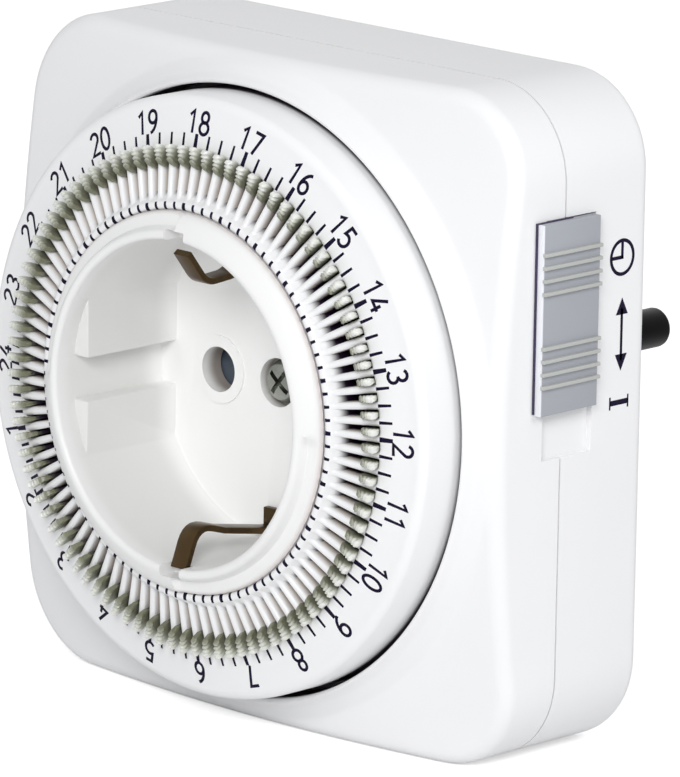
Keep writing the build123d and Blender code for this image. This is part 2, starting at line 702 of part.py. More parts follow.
def switch_lever():
    """Plastic lever: nose to the segments, ear to the slider's cam, pad to the contact."""
    half = LEVER_WIDTH / 2
    x_range = (LEVER_X - half, LEVER_X + half)
    y_range = (lever_front_y, lever_back_y)
    lever = block(x_range, y_range, (LEVER_END_Z, LEVER_PIVOT_Z + TRUNNION_R))
    reach = half + 0.3 + LUG_THICKNESS
    trunnion = (LEVER_X - reach, LEVER_X + reach)
    lever += side_disc(TRUNNION_R, trunnion, lever_pivot_y, LEVER_PIVOT_Z)
    nose_half = NOSE_WIDTH / 2
    tip_half = NOSE_TIP_WIDTH / 2
    wedge = make_face(
        Polyline(
            (-nose_half, lever_front_y),
            (-nose_half, nose_tip_y + 1.9),
            (-tip_half, nose_tip_y + 0.9),
            (-tip_half, nose_tip_y),
            (tip_half, nose_tip_y),
            (tip_half, nose_tip_y + 0.9),
            (nose_half, nose_tip_y + 1.9),
            (nose_half, lever_front_y),
            close=True,
        )
    )
    nose = extrude(wedge, amount=NOSE_TIP_RADIAL / 2, both=True)
    root = (floor_front_y - 0.5, lever_front_y)
    nose += block((-nose_half, nose_half), root, (-nose_half, nose_half))
    x, z = polar(nose_r, nose_angle)
    lever += Pos(x, 0, z) * Rot(0, 90 - nose_angle, 0) * nose
    pad_y = (lever_back_y, blade_front_y - 0.1)
    lever += block((LEVER_X - 0.8, LEVER_X + 0.8), pad_y, (LEVER_END_Z, LEVER_END_Z + 2))
    return lever + block((LEVER_X + half, CAM_X + 1.8), y_range, (8.5, 11.5))


# Override slider

def slider_pocket():
    """Shallow pocket under the slider's cap, with the slot through the wall for its neck."""
    half_neck = SLIDER_NECK_WIDTH / 2 + SLIDER_GAP
    pocket = block(
        (half_width - SLIDER_POCKET, half_width + 1),
        slider_pocket_y,
        (SLIDER_Z_LOW - SLIDER_TRAVEL - SLIDER_POCKET_SPARE, SLIDER_Z_HIGH + SLIDER_GAP),
    )
    slot = block(
        (inner_half - 1, half_width + 1),
        (slider_y - half_neck, slider_y + half_neck),
        (SLIDER_NECK_LOW - SLIDER_TRAVEL - SLIDER_GAP, SLIDER_NECK_HIGH + SLIDER_GAP),
    )
    return pocket + slot


def override_slider():
    """Slider with a ribbed cap outside, a carriage inside and a cam over the lever's ear."""
    half_neck = SLIDER_NECK_WIDTH / 2
    foot_x = half_width - SLIDER_POCKET + SLIDER_GAP
    cap_x = half_width + SLIDER_LIFT
    top_x = half_width + SLIDER_PROUD
    carriage_x = (inner_half - SLIDER_GAP - SLIDER_CARRIAGE, inner_half - SLIDER_GAP)
    neck_y = (slider_y - half_neck, slider_y + half_neck)
    carriage_y = (neck_y[0] - 0.6, neck_y[1] + SLIDER_LIP)
    carriage_z = (SLIDER_NECK_LOW - SLIDER_LIP, SLIDER_NECK_HIGH + SLIDER_LIP)
    cap_z = (SLIDER_Z_LOW, SLIDER_Z_HIGH)
    slider = block((cap_x, top_x), slider_cap_y, cap_z)
    slider = chamfer(slider.edges().filter_by(Axis.Z).group_by(Axis.X)[-1], 0.15)
    foot_y = (slider_pocket_y[0] + SLIDER_GAP, min(slider_pocket_y[1] - SLIDER_GAP, slider_cap_y[1]))
    slider += block((foot_x, cap_x), foot_y, cap_z)
    slider += block((carriage_x[1], foot_x), neck_y, (SLIDER_NECK_LOW, SLIDER_NECK_HIGH))
    slider += block(carriage_x, carriage_y, carriage_z)
    low_start = SLIDER_Z_LOW + SLIDER_RIB_START
    high_start = SLIDER_Z_HIGH - SLIDER_RIB_START
    for i in range(SLIDER_RIBS):
        for z in (low_start + i * SLIDER_RIB_PITCH, high_start - i * SLIDER_RIB_PITCH):
            rib_z = (z - SLIDER_RIB / 2, z + SLIDER_RIB / 2)
            slider += block((top_x - 0.5, top_x + SLIDER_RIB_PROUD), slider_cap_y, rib_z)
    return slider + slider_cam(carriage_x[0])


def slider_cam(carriage_x):
    """Wedge on the slider that pushes the lever's ear back when the slider goes down."""
    front_y = floor_back_y + 0.3
    crest_y = lever_front_y + CAM_LIFT
    wedge = make_face(
        Polyline(
            (front_y, CAM_TIP_Z),
            (crest_y - 0.9, CAM_TIP_Z),
            (crest_y, CAM_TIP_Z + 2.6),
            (crest_y, CAM_TIP_Z + 6.0),
            (front_y, CAM_TIP_Z + 6.0),
            close=True,
        )
    )
    return Pos(CAM_X, 0, 0) * extrude(Plane.YZ * wedge, amount=carriage_x - CAM_X + 0.5)


# Dial and segments

def slot_angle(index):
    return SLOT_PHASE + index * slot_pitch


def dial_ring():
    """Dial: sloping front with 96 slots, running bore and toothed skirt."""
    bore_r = tube_outer_r + DIAL_BORE_GAP
    gear_root_r = DIAL_GEAR_TEETH * dial_gear_module / 2 + DEDENDUM * dial_gear_module
    shoulder_y = dial_inner_y + DIAL_SLOPE * (dial_shoulder_r - bore_r)
    ring = turned(
        [
            (bore_r, rib_back_y),
            (bore_r, dial_inner_y),
            (dial_shoulder_r, shoulder_y),
            (dial_r, shoulder_y + dial_r - dial_shoulder_r),
            (dial_r, dial_back_y),
            (gear_root_r + 0.2, dial_back_y),
            (gear_root_r + 0.2, rib_back_y),
        ]
    )
    return ring + dial_gear_ring() - prism(slot_sketch(), dial_inner_y - 1, rib_back_y + 1)


def slot_sketch():
    """All slots as sectors between two radii."""
    half = math.degrees(SLOT_WIDTH / (slot_inner_r + slot_outer_r))
    slots = []
    for i in range(SLOT_COUNT):
        low = slot_angle(i) - half
        high = slot_angle(i) + half
        slots.append(
            make_face(
                Polyline(
                    polar(slot_inner_r, low),
                    polar(slot_outer_r, low),
                    polar(slot_outer_r, high),
                    polar(slot_inner_r, high),
                    close=True,
                )
            )
        )
    return Sketch() + slots


def dial_gear_ring():
    """Gear teeth on the inside of the dial's skirt."""
    pitch_r = DIAL_GEAR_TEETH * dial_gear_module / 2
    root_r = pitch_r + DEDENDUM * dial_gear_module
    tip_r = pitch_r - ADDENDUM * dial_gear_module
    widening = BACKLASH * dial_gear_module
    points = gear_outline(
        DIAL_GEAR_TEETH, dial_gear_module, root_r, tip_r, widening, DRIVE_ANGLE
    )
    hole = make_face(Polyline(*points, close=True))
    return prism(Circle(root_r + 0.6) - hole, rib_back_y, dial_back_y)


def pivot_ring():
    """Ring of square wire, bent in short flats, that all segments hook on."""
    flats = SLOT_COUNT // 2
    turn = slot_angle(0) + slot_pitch / 2
    outer_r = PIVOT_R + PIVOT_RING / 2
    inner_r = PIVOT_R - PIVOT_RING / 2
    ring = RegularPolygon(outer_r, flats) - RegularPolygon(inner_r, flats)
    return prism(Rot(0, 0, turn) * ring, pivot_y - PIVOT_RING / 2, pivot_y + PIVOT_RING / 2)


def segment():
    """One segment at angle 0, tipped outward: tail, hook, neck and tapered head."""
    lean = math.radians(SEGMENT_LEAN)
    eye = PIVOT_RING / 2 + PIVOT_CLEARANCE

    def place(u, v):
        radius = PIVOT_R + u * math.cos(lean) + v * math.sin(lean)
        return (radius, pivot_y + u * math.sin(lean) - v * math.cos(lean))

    plate = [
        (-SEGMENT_HOOK, eye),
        (eye, eye),
        (eye, -SEGMENT_TAIL),
        (SEGMENT_OUTER, -SEGMENT_TAIL),
        (SEGMENT_OUTER, SEGMENT_NECK + 0.05),
        (-SEGMENT_INNER, SEGMENT_NECK - 0.05),
    ]
    plate_face = make_face(Polyline(*[place(u, v) for u, v in plate], close=True))
    body = extrude(plate_face, amount=SEGMENT_THICKNESS / 2, both=True)
    head = [
        (-SEGMENT_INNER, SEGMENT_NECK - 0.05),
        (SEGMENT_OUTER, SEGMENT_NECK + 0.05),
        (SEGMENT_OUTER - 0.2, SEGMENT_NECK + HEAD_HEIGHT),
        (0.84 - SEGMENT_INNER, SEGMENT_NECK + HEAD_HEIGHT - 0.35),
    ]
    head_face = make_face(Polyline(*[place(u, v) for u, v in head], close=True))
    head_block = extrude(head_face, amount=HEAD_WIDTH / 2, both=True)
    outward = (math.cos(lean), math.sin(lean), 0)
    cross_plane = Plane(origin=(PIVOT_R, pivot_y, 0), x_dir=(0, 0, 1), z_dir=outward)
    taper = make_face(
        Polyline(
            (-HEAD_WIDTH / 2, SEGMENT_NECK - 0.1),
            (HEAD_WIDTH / 2, SEGMENT_NECK - 0.1),
            (HEAD_TIP_WIDTH / 2, SEGMENT_NECK + HEAD_HEIGHT),
            (-HEAD_TIP_WIDTH / 2, SEGMENT_NECK + HEAD_HEIGHT),
            close=True,
        )
    )
    return body + (head_block & extrude(cross_plane * taper, amount=3, both=True))


def hour_segments(hour):
    """The four segments of one hour, as separate solids."""
    per_hour = SLOT_COUNT // HOURS
    one = segment()
    solids = []
    for i in range(per_hour):
        index = (hour - 12) * per_hour + i
        solids.append((Rot(0, -slot_angle(index), 0) * one).solids()[0])
    return Compound(children=solids)


# Gear train and motor

def drive_pinion():
    """Drive pinion, its shaft and the six-sided clutch flange at the back."""
    teeth_back = floor_front_y - 0.15
    face = gear_face(DRIVE_PINION_TEETH, dial_gear_module, DRIVE_ANGLE, drive_centre)
    pinion = prism(face, teeth_back - DRIVE_PINION_WIDTH, teeth_back)
    flange_front = rear_layer_back + 0.7
    pinion += disc(DRIVE_SHAFT_R, teeth_back, inner_back_y - 2, drive_centre)
    flange = Pos(*drive_centre) * RegularPolygon(CLUTCH_FLANGE_R, 6)
    return pinion + prism(flange, flange_front, flange_front + CLUTCH_FLANGE)


def clutch_gear():
    """Last wheel of the train, which drives the shaft through the friction clutch."""
    phase = TRAIN_TURN_1 + wheel_space
    face = gear_face(WHEEL_TEETH, TRAIN_MODULE, phase, drive_centre)
    wheel = prism(face, rear_layer_front, rear_layer_back)
    bore = disc(DRIVE_SHAFT_R + RUNNING_GAP, rear_layer_front - 1, rear_layer_back + 1, drive_centre)
    return wheel - bore


def clutch_washer():
    """Six-sided spring washer between the last wheel and the shaft's flange."""
    front = rear_layer_back + 0.05
    outline = RegularPolygon(CLUTCH_FLANGE_R, 6) - RegularPolygon(DRIVE_SHAFT_R + 0.3, 6)
    return prism(Pos(*drive_centre) * outline, front, front + 0.6)


def reduction_gear():
    """Wheel and pinion in one piece, on an axle in the motor's face."""
    wheel = gear_face(WHEEL_TEETH, TRAIN_MODULE, TRAIN_TURN_2 + wheel_space, gear_centre)
    pinion = gear_face(PINION_TEETH, TRAIN_MODULE, TRAIN_TURN_1 + 180, gear_centre)
    gear = prism(wheel, front_layer_front, front_layer_back)
    gear += prism(pinion, front_layer_back, rear_layer_back)
    bore_r = AXLE_R + RUNNING_GAP
    return gear - disc(bore_r, front_layer_front - 1, rear_layer_back + 1, gear_centre)


def gear_axle():
    """Fixed steel axle of the reduction gear, pressed in the motor's face."""
    return disc(AXLE_R, shaft_end_y, motor_front_y + AXLE_DEPTH, gear_centre)


def motor():
    """Sealed synchronous motor: a round can with its bearing and the axle's hole in front."""
    can = disc(MOTOR_R, motor_front_y, motor_back_y, motor_centre)
    bearing = disc(ROTOR_SHAFT_R + RUNNING_GAP, motor_front_y - 1, motor_bore_y, motor_centre)
    return can - bearing - disc(AXLE_R + 0.02, motor_front_y - 1, motor_bore_y, gear_centre)


def motor_pinion():
    """Motor shaft with the first pinion of the train."""
    shaft = disc(ROTOR_SHAFT_R, front_layer_back, motor_bore_y - 0.2, motor_centre)
    face = gear_face(PINION_TEETH, TRAIN_MODULE, TRAIN_TURN_2 + 180, motor_centre)
    return shaft + prism(face, front_layer_front - 0.1, front_layer_back + 0.1)


# Shutter

def shutter():
    """Turning safety shutter on the central boss, with ramps under the pin holes."""
    half_length = SHUTTER_LENGTH / 2
    half_width_z = SHUTTER_WIDTH / 2
    level = (shutter_front_y, shutter_back_y)
    bar = block((-half_length, half_length), level, (-half_width_z, half_width_z))
    bar += post(SHUTTER_HUB, shutter_front_y, shutter_back_y, (0, 0))
    bar -= disc(CENTRE_BOSS_R + RUNNING_GAP, shutter_front_y - 1, shutter_back_y + 1)
    for side in (0, 180):
        ramp = Pos(0, -1.0, 0) * Box(4.8, 2.0, 9.0)
        ramp = Pos(pin_x + 0.6, shutter_front_y + 0.1, 0) * Rot(SHUTTER_RAMP_SLOPE, 0, 0) * ramp
        bar -= Rot(0, -side, 0) * ramp
    return bar


def shutter_spring():
    """Torsion spring behind the shutter, round the boss, with one straight leg."""
    front = shutter_back_y + 0.05
    inner_r = CENTRE_BOSS_R + 0.4
    ring = RegularPolygon(inner_r + SPRING_WIRE, 16) - RegularPolygon(inner_r, 16)
    leg = Pos(inner_r + SPRING_WIRE / 2, SPRING_LEG / 2) * Rectangle(SPRING_WIRE, SPRING_LEG)
    return prism(ring + leg, front, front + SPRING_WIRE)


def housing_screws():
    """Two screws that join the two shells, sunk in the back."""
    head_front_y = back_y - SCREW_SINK
    head_back_y = head_front_y + SCREW_HEAD_H
    solids = []
    for sign in (-1, 1):
        place = (sign * corner_screw_offset, -sign * corner_screw_offset)
        screw = disc(SCREW_HEAD_R, head_front_y, head_back_y, place)
        screw += disc(SCREW_SHANK_R, head_front_y - SCREW_SHANK_LENGTH, head_front_y, place)
        x_range = (place[0] - SCREW_HEAD_R, place[0] + SCREW_HEAD_R)
        z_range = (place[1] - SCREW_SLOT_WIDTH / 2, place[1] + SCREW_SLOT_WIDTH / 2)
        screw -= block(x_range, (head_back_y - SCREW_SLOT_DEPTH, head_back_y + 1), z_range)
        solids.append(screw.solids()[0])
    return Compound(children=solids)


pieces = {
    "front_shell": front_shell(),
    "rear_shell": rear_shell(),
    "housing_screws": housing_screws(),
    "socket_insert": socket_insert(),
    "socket_screw": socket_screw(),
    "earth_clip_top": earth_clip(1),
    "earth_clip_bottom": earth_clip(-1),
    "earth_cross_strap": earth_cross_strap(),
    "contact_sleeve_line": contact_sleeve(1),
    "contact_sleeve_neutral": contact_sleeve(-1),
    "plug_pin_line": plug_pin(1),
    "plug_pin_neutral": plug_pin(-1),
    "neutral_busbar": neutral_busbar(),
    "line_busbar": line_busbar(),
    "switch_strap": switch_strap(),
    "moving_contact": moving_contact(),
    "switch_lever": switch_lever(),
    "override_slider": override_slider(),
    "shutter": shutter(),
    "shutter_spring": shutter_spring(),
    "dial_ring": dial_ring(),
    "pivot_ring": pivot_ring(),
    "drive_pinion": drive_pinion(),
    "clutch_gear": clutch_gear(),
    "clutch_washer": clutch_washer(),
    "reduction_gear": reduction_gear(),
    "gear_axle": gear_axle(),
    "motor": motor(),
    "motor_pinion": motor_pinion(),
}
for hour in range(1, HOURS + 1):
    pieces[f"segments_hour_{hour:02d}"] = hour_segments(hour)

for name, piece in pieces.items():
    export_step(piece, f"parts/{name}.step")
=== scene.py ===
import math

import bmesh
import bpy
from mathutils import Matrix, Vector


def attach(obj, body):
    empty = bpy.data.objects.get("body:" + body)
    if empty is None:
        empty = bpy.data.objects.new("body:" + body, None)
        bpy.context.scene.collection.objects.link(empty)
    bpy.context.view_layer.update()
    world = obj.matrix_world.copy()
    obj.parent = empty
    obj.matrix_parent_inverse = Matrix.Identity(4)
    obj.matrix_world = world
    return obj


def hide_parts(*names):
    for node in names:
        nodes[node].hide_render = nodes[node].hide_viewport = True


# 24 hour plug-in timer switch with a segment dial.
# Sizes in this file are in millimetres, in the CAD frame: +Y into the wall, -Y to the user,
# +Z up, +X right. A mesh gets its metres when it is made.
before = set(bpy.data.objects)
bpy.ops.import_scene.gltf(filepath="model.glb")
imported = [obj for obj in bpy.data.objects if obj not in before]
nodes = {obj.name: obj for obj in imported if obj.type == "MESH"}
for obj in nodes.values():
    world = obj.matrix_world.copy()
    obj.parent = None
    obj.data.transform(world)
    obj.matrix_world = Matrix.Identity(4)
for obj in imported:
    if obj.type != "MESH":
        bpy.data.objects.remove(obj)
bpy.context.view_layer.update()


# Front cover. White gloss plastic, moulded in one piece: softly crowned face, rounded front
# edge, and a raised lip round the recess that the dial turns in. It meets the back cover in
# a fine groove round the sides.
HALF_WIDTH = 39.5
CORNER_R = 10.8
PARTING_Y = -31.5
PARTING_GAP = 0.12
PARTING_GAP_DEPTH = 0.5
WALL = 2.0
RECESS_R = 36.0
RECESS_FLOOR_Y = -37.6
RECESS_BACK_Y = -36.0
LIP_CREST_Y = -44.4
LIP_CREST_ROUND = 0.45
LIP_FOOT_R = 38.9
LIP_FOOT_Y = -41.95
LIP_MIDDLE_R = 37.8
LIP_EASE = 0.8
FACE_SLOPE = 0.235
FACE_BLEND = 0.16
FACE_DIP_SHARE = 0.35
BLEND_REACH = 3.0
BLEND_SHARE = 0.65
FRONT_ROUND = 1.6
TUBE_R = 21.0
TUBE_WALL = 0.8
TUBE_FRONT_Y = -52.3
TURNS = 480


def new_object(name, data):
    """A new object in the scene."""
    made = bpy.data.objects.new(name, data)
    bpy.context.scene.collection.objects.link(made)
    return made


def link_mesh(name, points, faces):
    """A new object whose points are given in millimetres, with its normals outwards."""
    mesh = bpy.data.meshes.new(name)
    mesh.from_pydata([Vector(point) / 1000 for point in points], [], faces)
    work = bmesh.new()
    work.from_mesh(mesh)
    bmesh.ops.remove_doubles(work, verts=work.verts, dist=1e-7)
    bmesh.ops.recalc_face_normals(work, faces=work.faces)
    work.to_mesh(mesh)
    work.free()
    return new_object(name, mesh)


def loft(name, columns, ring=True):
    """A closed skin over columns of points. ring joins the last station to the first, and
    otherwise the first and last stations are poles."""
    count = len(columns)
    stations = len(columns[0])
    points = []
    faces = []
    for column in columns:
        points += column
    for i in range(count):
        here = i * stations
        there = (i + 1) % count * stations
        for j in range(stations if ring else stations - 1):
            k = (j + 1) % stations
            corners = [here + j, there + j, there + k, here + k]
            if not ring and j == 0:
                corners = [0, there + k, here + k]
            if not ring and j == stations - 2:
                corners = [here + j, there + j, stations - 1]
            faces.append(corners)
    return link_mesh(name, points, faces)


def smooth(piece, angle=32.0):
    """Smooth shading, with edges sharper than the angle kept crisp and level faces flat."""
    for polygon in piece.data.polygons:
        polygon.use_smooth = max(abs(share) for share in polygon.normal) < 0.99999
    piece.data.set_sharp_from_angle(angle=math.radians(angle))


def outline_r(angle, inset=0.0):
    """Distance from the axis to the housing's rounded square, at an angle in degrees."""
    half = HALF_WIDTH - inset
    radius = CORNER_R - inset
    straight = half - radius
    turn = math.radians(angle)
    ux, uz = abs(math.cos(turn)), abs(math.sin(turn))
    flat = half / max(ux, uz)
    if min(ux, uz) * flat <= straight:
        return flat
    along = straight * (ux + uz)
    return along + math.sqrt(along * along - 2 * straight * straight + radius * radius)


def place(radius, angle, y, centre=(0, 0)):
    """A point from its distance to an axis, its angle from +X to +Z, and its level."""
    turn = math.radians(angle)
    return (centre[0] + radius * math.cos(turn), y, centre[1] + radius * math.sin(turn))


def quarter(steps, first=1):
    """Sine and rise of each step of a quarter turn, to round an edge with."""
    turns = [math.radians(90.0 * step / steps) for step in range(first, steps + 1)]
    return [(math.sin(turn), 1 - math.cos(turn)) for turn in turns]


def between(start, end, steps):
    """Equal steps from a start, which is left out, to an end."""
    return [start + (end - start) * step / steps for step in range(1, steps + 1)]


def spin(name, section, turns, ring=False, centre=(0, 0)):
    """A closed skin round an axis. section gives the radii and levels at an angle."""
    columns = []
    for i in range(turns):
        angle = 360.0 * i / turns
        columns.append([place(radius, angle, y, centre) for radius, y in section(angle)])
    return loft(name, columns, ring)


def face_level(radius):
    """Level of the front face: the lip's outer slope runs into the gently sloping face."""
    slope = (LIP_FOOT_Y - LIP_CREST_Y) / (LIP_FOOT_R - RECESS_R)
    lip = LIP_CREST_Y + (radius - RECESS_R) * slope
    face = LIP_FOOT_Y + (radius - LIP_FOOT_R) * FACE_SLOPE
    lower = min(lip, face)
    return lower - FACE_BLEND * math.exp(-abs(lip - face) / FACE_BLEND) * FACE_DIP_SHARE


def parting_edge(angle, gap):
    """Half of the fine groove between the covers, and the wall's edge behind it."""
    groove_r = outline_r(angle, PARTING_GAP_DEPTH)
    level = PARTING_Y + gap
    edge = [(outline_r(angle), level), (groove_r, level), (groove_r, PARTING_Y)]
    return edge + [(outline_r(angle, WALL), PARTING_Y)]


def front_section(angle):
    """Radii and levels from the recess over the lip and the face to the tube."""
    crest = LIP_CREST_Y + LIP_CREST_ROUND
    section = [(RECESS_R, RECESS_FLOOR_Y), (RECESS_R, crest)]
    for sine, rise in quarter(6):
        section.append((RECESS_R + LIP_CREST_ROUND * rise, crest - LIP_CREST_ROUND * sine))
    inner = outline_r(angle, FRONT_ROUND)
    start = RECESS_R + LIP_CREST_ROUND
    blend_end = LIP_MIDDLE_R + min(BLEND_REACH, BLEND_SHARE * (inner - LIP_MIDDLE_R))
    stops = between(start, LIP_MIDDLE_R, 6) + between(LIP_MIDDLE_R, blend_end, 12)
    for radius in stops + between(blend_end, inner, 8):
        ease = min(1.0, (radius - start) / LIP_EASE)
        level = face_level(radius)
        section.append((radius, level + (LIP_CREST_Y - level) * (1 - ease) ** 2))
    for sine, rise in quarter(8):
        radius = outline_r(angle, FRONT_ROUND * (1 - sine))
        section.append((radius, face_level(radius) + FRONT_ROUND * rise))
    section += parting_edge(angle, -PARTING_GAP)
    section += [(outline_r(angle, WALL), RECESS_BACK_Y), (TUBE_R, RECESS_BACK_Y)]
    section += [(TUBE_R, TUBE_FRONT_Y), (TUBE_R + TUBE_WALL, TUBE_FRONT_Y)]
    return section + [(TUBE_R + TUBE_WALL, RECESS_FLOOR_Y)]


front_cover = spin("front_cover", front_section, TURNS, ring=True)


def box_tool(x_range, y_range, z_range, rounding=0.0, name="tool"):
    """A closed block between three pairs of limits, with its edges rounded if asked."""
    work = bmesh.new()
    bmesh.ops.create_cube(work, size=1.0)
    ranges = (x_range, y_range, z_range)
    size = Vector([high - low for low, high in ranges])
    centre = Vector([(high + low) / 2 for low, high in ranges])
    work.transform(Matrix.Translation(centre / 1000) @ Matrix.Diagonal((*(size / 1000), 1)))
    if rounding:
        how = {"segments": 3, "profile": 0.5, "affect": "EDGES"}
        bmesh.ops.bevel(work, geom=work.edges[:], offset=rounding / 1000, **how)
    mesh = bpy.data.meshes.new(name)
    work.to_mesh(mesh)
    work.free()
    return new_object(name, mesh)


def make_plain(piece):
    """Turns what the piece's modifiers make into its plain mesh."""
    depsgraph = bpy.context.evaluated_depsgraph_get()
    mesh = bpy.data.meshes.new_from_object(piece.evaluated_get(depsgraph))
    piece.modifiers.clear()
    piece.data = mesh


def combine(piece, tool, operation="DIFFERENCE"):
    """Cuts the tool out of the piece, or joins it, and removes the tool."""
    modifier = piece.modifiers.new("shape", "BOOLEAN")
    modifier.operation = operation
    modifier.solver = "EXACT"
    modifier.object = tool
    make_plain(piece)
    bpy.data.objects.remove(tool)


# The slider's pocket crosses the groove between the covers, so both covers get it.
POCKET_X = 38.8
POCKET_Y = (-34.65, -26.4)
POCKET_Z = (-2.7, 25.15)
NECK_Y = (-35.1, -27.3)
NECK_Z = (3.65, 19.15)
NECK_INNER_X = 30
OUTSIDE_X = 45


def cut_slider_pocket(cover):
    combine(cover, box_tool((POCKET_X, OUTSIDE_X), POCKET_Y, POCKET_Z))
    combine(cover, box_tool((NECK_INNER_X, OUTSIDE_X), NECK_Y, NECK_Z))


cut_slider_pocket(front_cover)


def feed(tree, node, inputs):
    """Gives a node its inputs: another node's socket is linked, and a plain value is set."""
    for key, value in inputs.items():
        if isinstance(value, bpy.types.NodeSocket):
            tree.links.new(value, node.inputs[key])
        else:
            node.inputs[key].default_value = value


def add_node(tree, kind, inputs, operation=None):
    """The outputs of a new node."""
    node = tree.nodes.new(kind)
    if operation:
        node.operation = operation
    feed(tree, node, inputs)
    return node.outputs


def calculate(tree, operation, *values):
    """The result of a calculation with numbers or sockets."""
    return add_node(tree, "ShaderNodeMath", dict(enumerate(values)), operation)[0]


def new_material(name):
    """A material, its node tree and its surface shader."""
    material = bpy.data.materials.new(name)
    material.use_nodes = True
    return material, material.node_tree, material.node_tree.nodes["Principled BSDF"]


def object_place(tree):
    return tree.nodes.new("ShaderNodeTexCoord").outputs["Object"]


def noise(tree, place_in, scale, detail):
    inputs = {"Vector": place_in, "Scale": scale, "Detail": detail}
    return add_node(tree, "ShaderNodeTexNoise", inputs)["Fac"]


def set_finish(tree, shader, colour, tint, gloss, relief):
    """tint: noise, the share of the colour at its dark end, and the positions of its ends.
    gloss: noise and the roughness at its ends. relief: noise, strength and height in metres."""
    ramp = tree.nodes.new("ShaderNodeValToRGB")
    feed(tree, ramp, {"Fac": tint[0]})
    for element, share, position in zip(ramp.color_ramp.elements, (tint[1], 1), tint[2]):
        element.color = (*[channel * share for channel in colour], 1)
        element.position = position
    ends = {"Value": gloss[0], "To Min": gloss[1], "To Max": gloss[2]}
    rough = add_node(tree, "ShaderNodeMapRange", ends)["Result"]
    bumps = {"Height": relief[0], "Strength": relief[1], "Distance": relief[2]}
    normal = add_node(tree, "ShaderNodeBump", bumps)["Normal"]
    feed(tree, shader, {"Base Color": ramp.outputs["Color"], "Roughness": rough, "Normal": normal})


def moulded_plastic(name, colour, roughness, grain=0.0006, bump=0.05, variation=0.02):
    """Moulded plastic: a faint cloudiness in its colour, uneven gloss, and a fine skin grain."""
    material, tree, shader = new_material(name)
    place_in = object_place(tree)
    cloud = noise(tree, place_in, 45.0, 3.0)
    skin = noise(tree, place_in, 1.0 / grain, 2.0)
    tint = (cloud, 1 - variation, (0.3, 0.7))
    gloss = (cloud, roughness - 0.04, roughness + 0.06)
    set_finish(tree, shader, colour, tint, gloss, (skin, bump, 0.00004))
    return material


def shade_inside(material, low, high, reach, shade, slope=0.0, foot_r=0.0, from_r=0.0):
    """Paints shade into a material's colour where little light gets in, and painted light where
    the colour given is lighter: between two distances to the axis, from a low to a high depth
    behind a face that slopes back from foot_r. All in millimetres."""
    tree = material.node_tree
    shader = tree.nodes["Principled BSDF"]
    parts = add_node(tree, "ShaderNodeSeparateXYZ", {0: object_place(tree)})
    flat = add_node(tree, "ShaderNodeCombineXYZ", {"X": parts["X"], "Z": parts["Z"]})[0]
    radius = add_node(tree, "ShaderNodeVectorMath", {0: flat}, "LENGTH")["Value"]
    fall = calculate(tree, "MULTIPLY_ADD", radius, -slope, slope * foot_r / 1000)
    depth = calculate(tree, "ADD", parts["Y"], fall)
    share = tree.nodes.new("ShaderNodeMapRange")
    share.interpolation_type = "SMOOTHSTEP"
    feed(tree, share, {"Value": depth, "From Min": low / 1000, "From Max": high / 1000})
    within = calculate(tree, "LESS_THAN", radius, reach / 1000)
    beyond = calculate(tree, "GREATER_THAN", radius, from_r / 1000)
    zone = calculate(tree, "MULTIPLY", within, beyond)
    both = calculate(tree, "MULTIPLY", share.outputs["Result"], zone)
    mixer = tree.nodes.new("ShaderNodeMix")
    mixer.data_type = "RGBA"
    before = shader.inputs["Base Color"].links[0].from_socket
    feed(tree, mixer, {"Factor": both, "A": before, "B": (*shade, 1)})
    feed(tree, shader, {"Base Color": mixer.outputs["Result"]})


housing_white = moulded_plastic("housing_white", (0.86, 0.862, 0.868), 0.32)
cover_white_recess_shade = moulded_plastic("cover_white_recess_shade", (0.86, 0.862, 0.868), 0.32)
# Painted shade: the cover's white darkens to near black down the recess wall round the dial.
shade_inside(cover_white_recess_shade, -43.8, -42.6, RECESS_R + 0.2, (0.05, 0.04, 0.055))


def assign(piece, body, replaced=()):
    """Says what a finished piece rides on and what it stands for."""
    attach(piece, body)
    if replaced:
        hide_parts(*replaced)


def dress(piece, material, body, replaced=()):
    """Gives a finished piece its material and assigns it."""
    piece.data.materials.clear()
    piece.data.materials.append(material)
    assign(piece, body, replaced)


smooth(front_cover)
dress(front_cover, cover_white_recess_shade, "housing", ["front_shell"])


# Back cover, with the round plug body moulded on. The same white plastic. Two screws from
# behind hold it to the front cover, and their heads sit deep in round wells.
BACK_Y = -17.0
BACK_INNER_Y = -19.0
BACK_ROUND = 1.9
PLUG_R = 18.5
PLUG_ROUND = 0.8
PLUG_FOOT_FILLET = 0.5
PLUG_CAVITY_R = 14.2
PLUG_CAVITY_Y = -3.0
SCREW_OFFSET = 32.6
SCREW_WELL_R = 2.5
SCREW_WELL_Y = -20.2
SCREW_HOLE_R = 1.4
SCREW_BOSS_HALF = 3.5
PLUG_PIN_X = 9.5
PLUG_PIN_R = 2.4
PLUG_PIN_SEAT_R = 2.5
PLUG_PIN_SEAT_Y = -0.4
PLUG_PIN_HOLE_R = 2.25
GROOVE_X = 16.6
GROOVE_Z = (2.4, 9.9)
GROOVE_END_Y = BACK_Y + 0.1
EARTH_RECESS_HALF = 2.4
EARTH_RECESS_Z = 16.9
EARTH_SLOT_HALF = 1.5
EARTH_SLOT_END_Z = 18.6
# How far the tools that cut reach past a face.
SPARE = 3


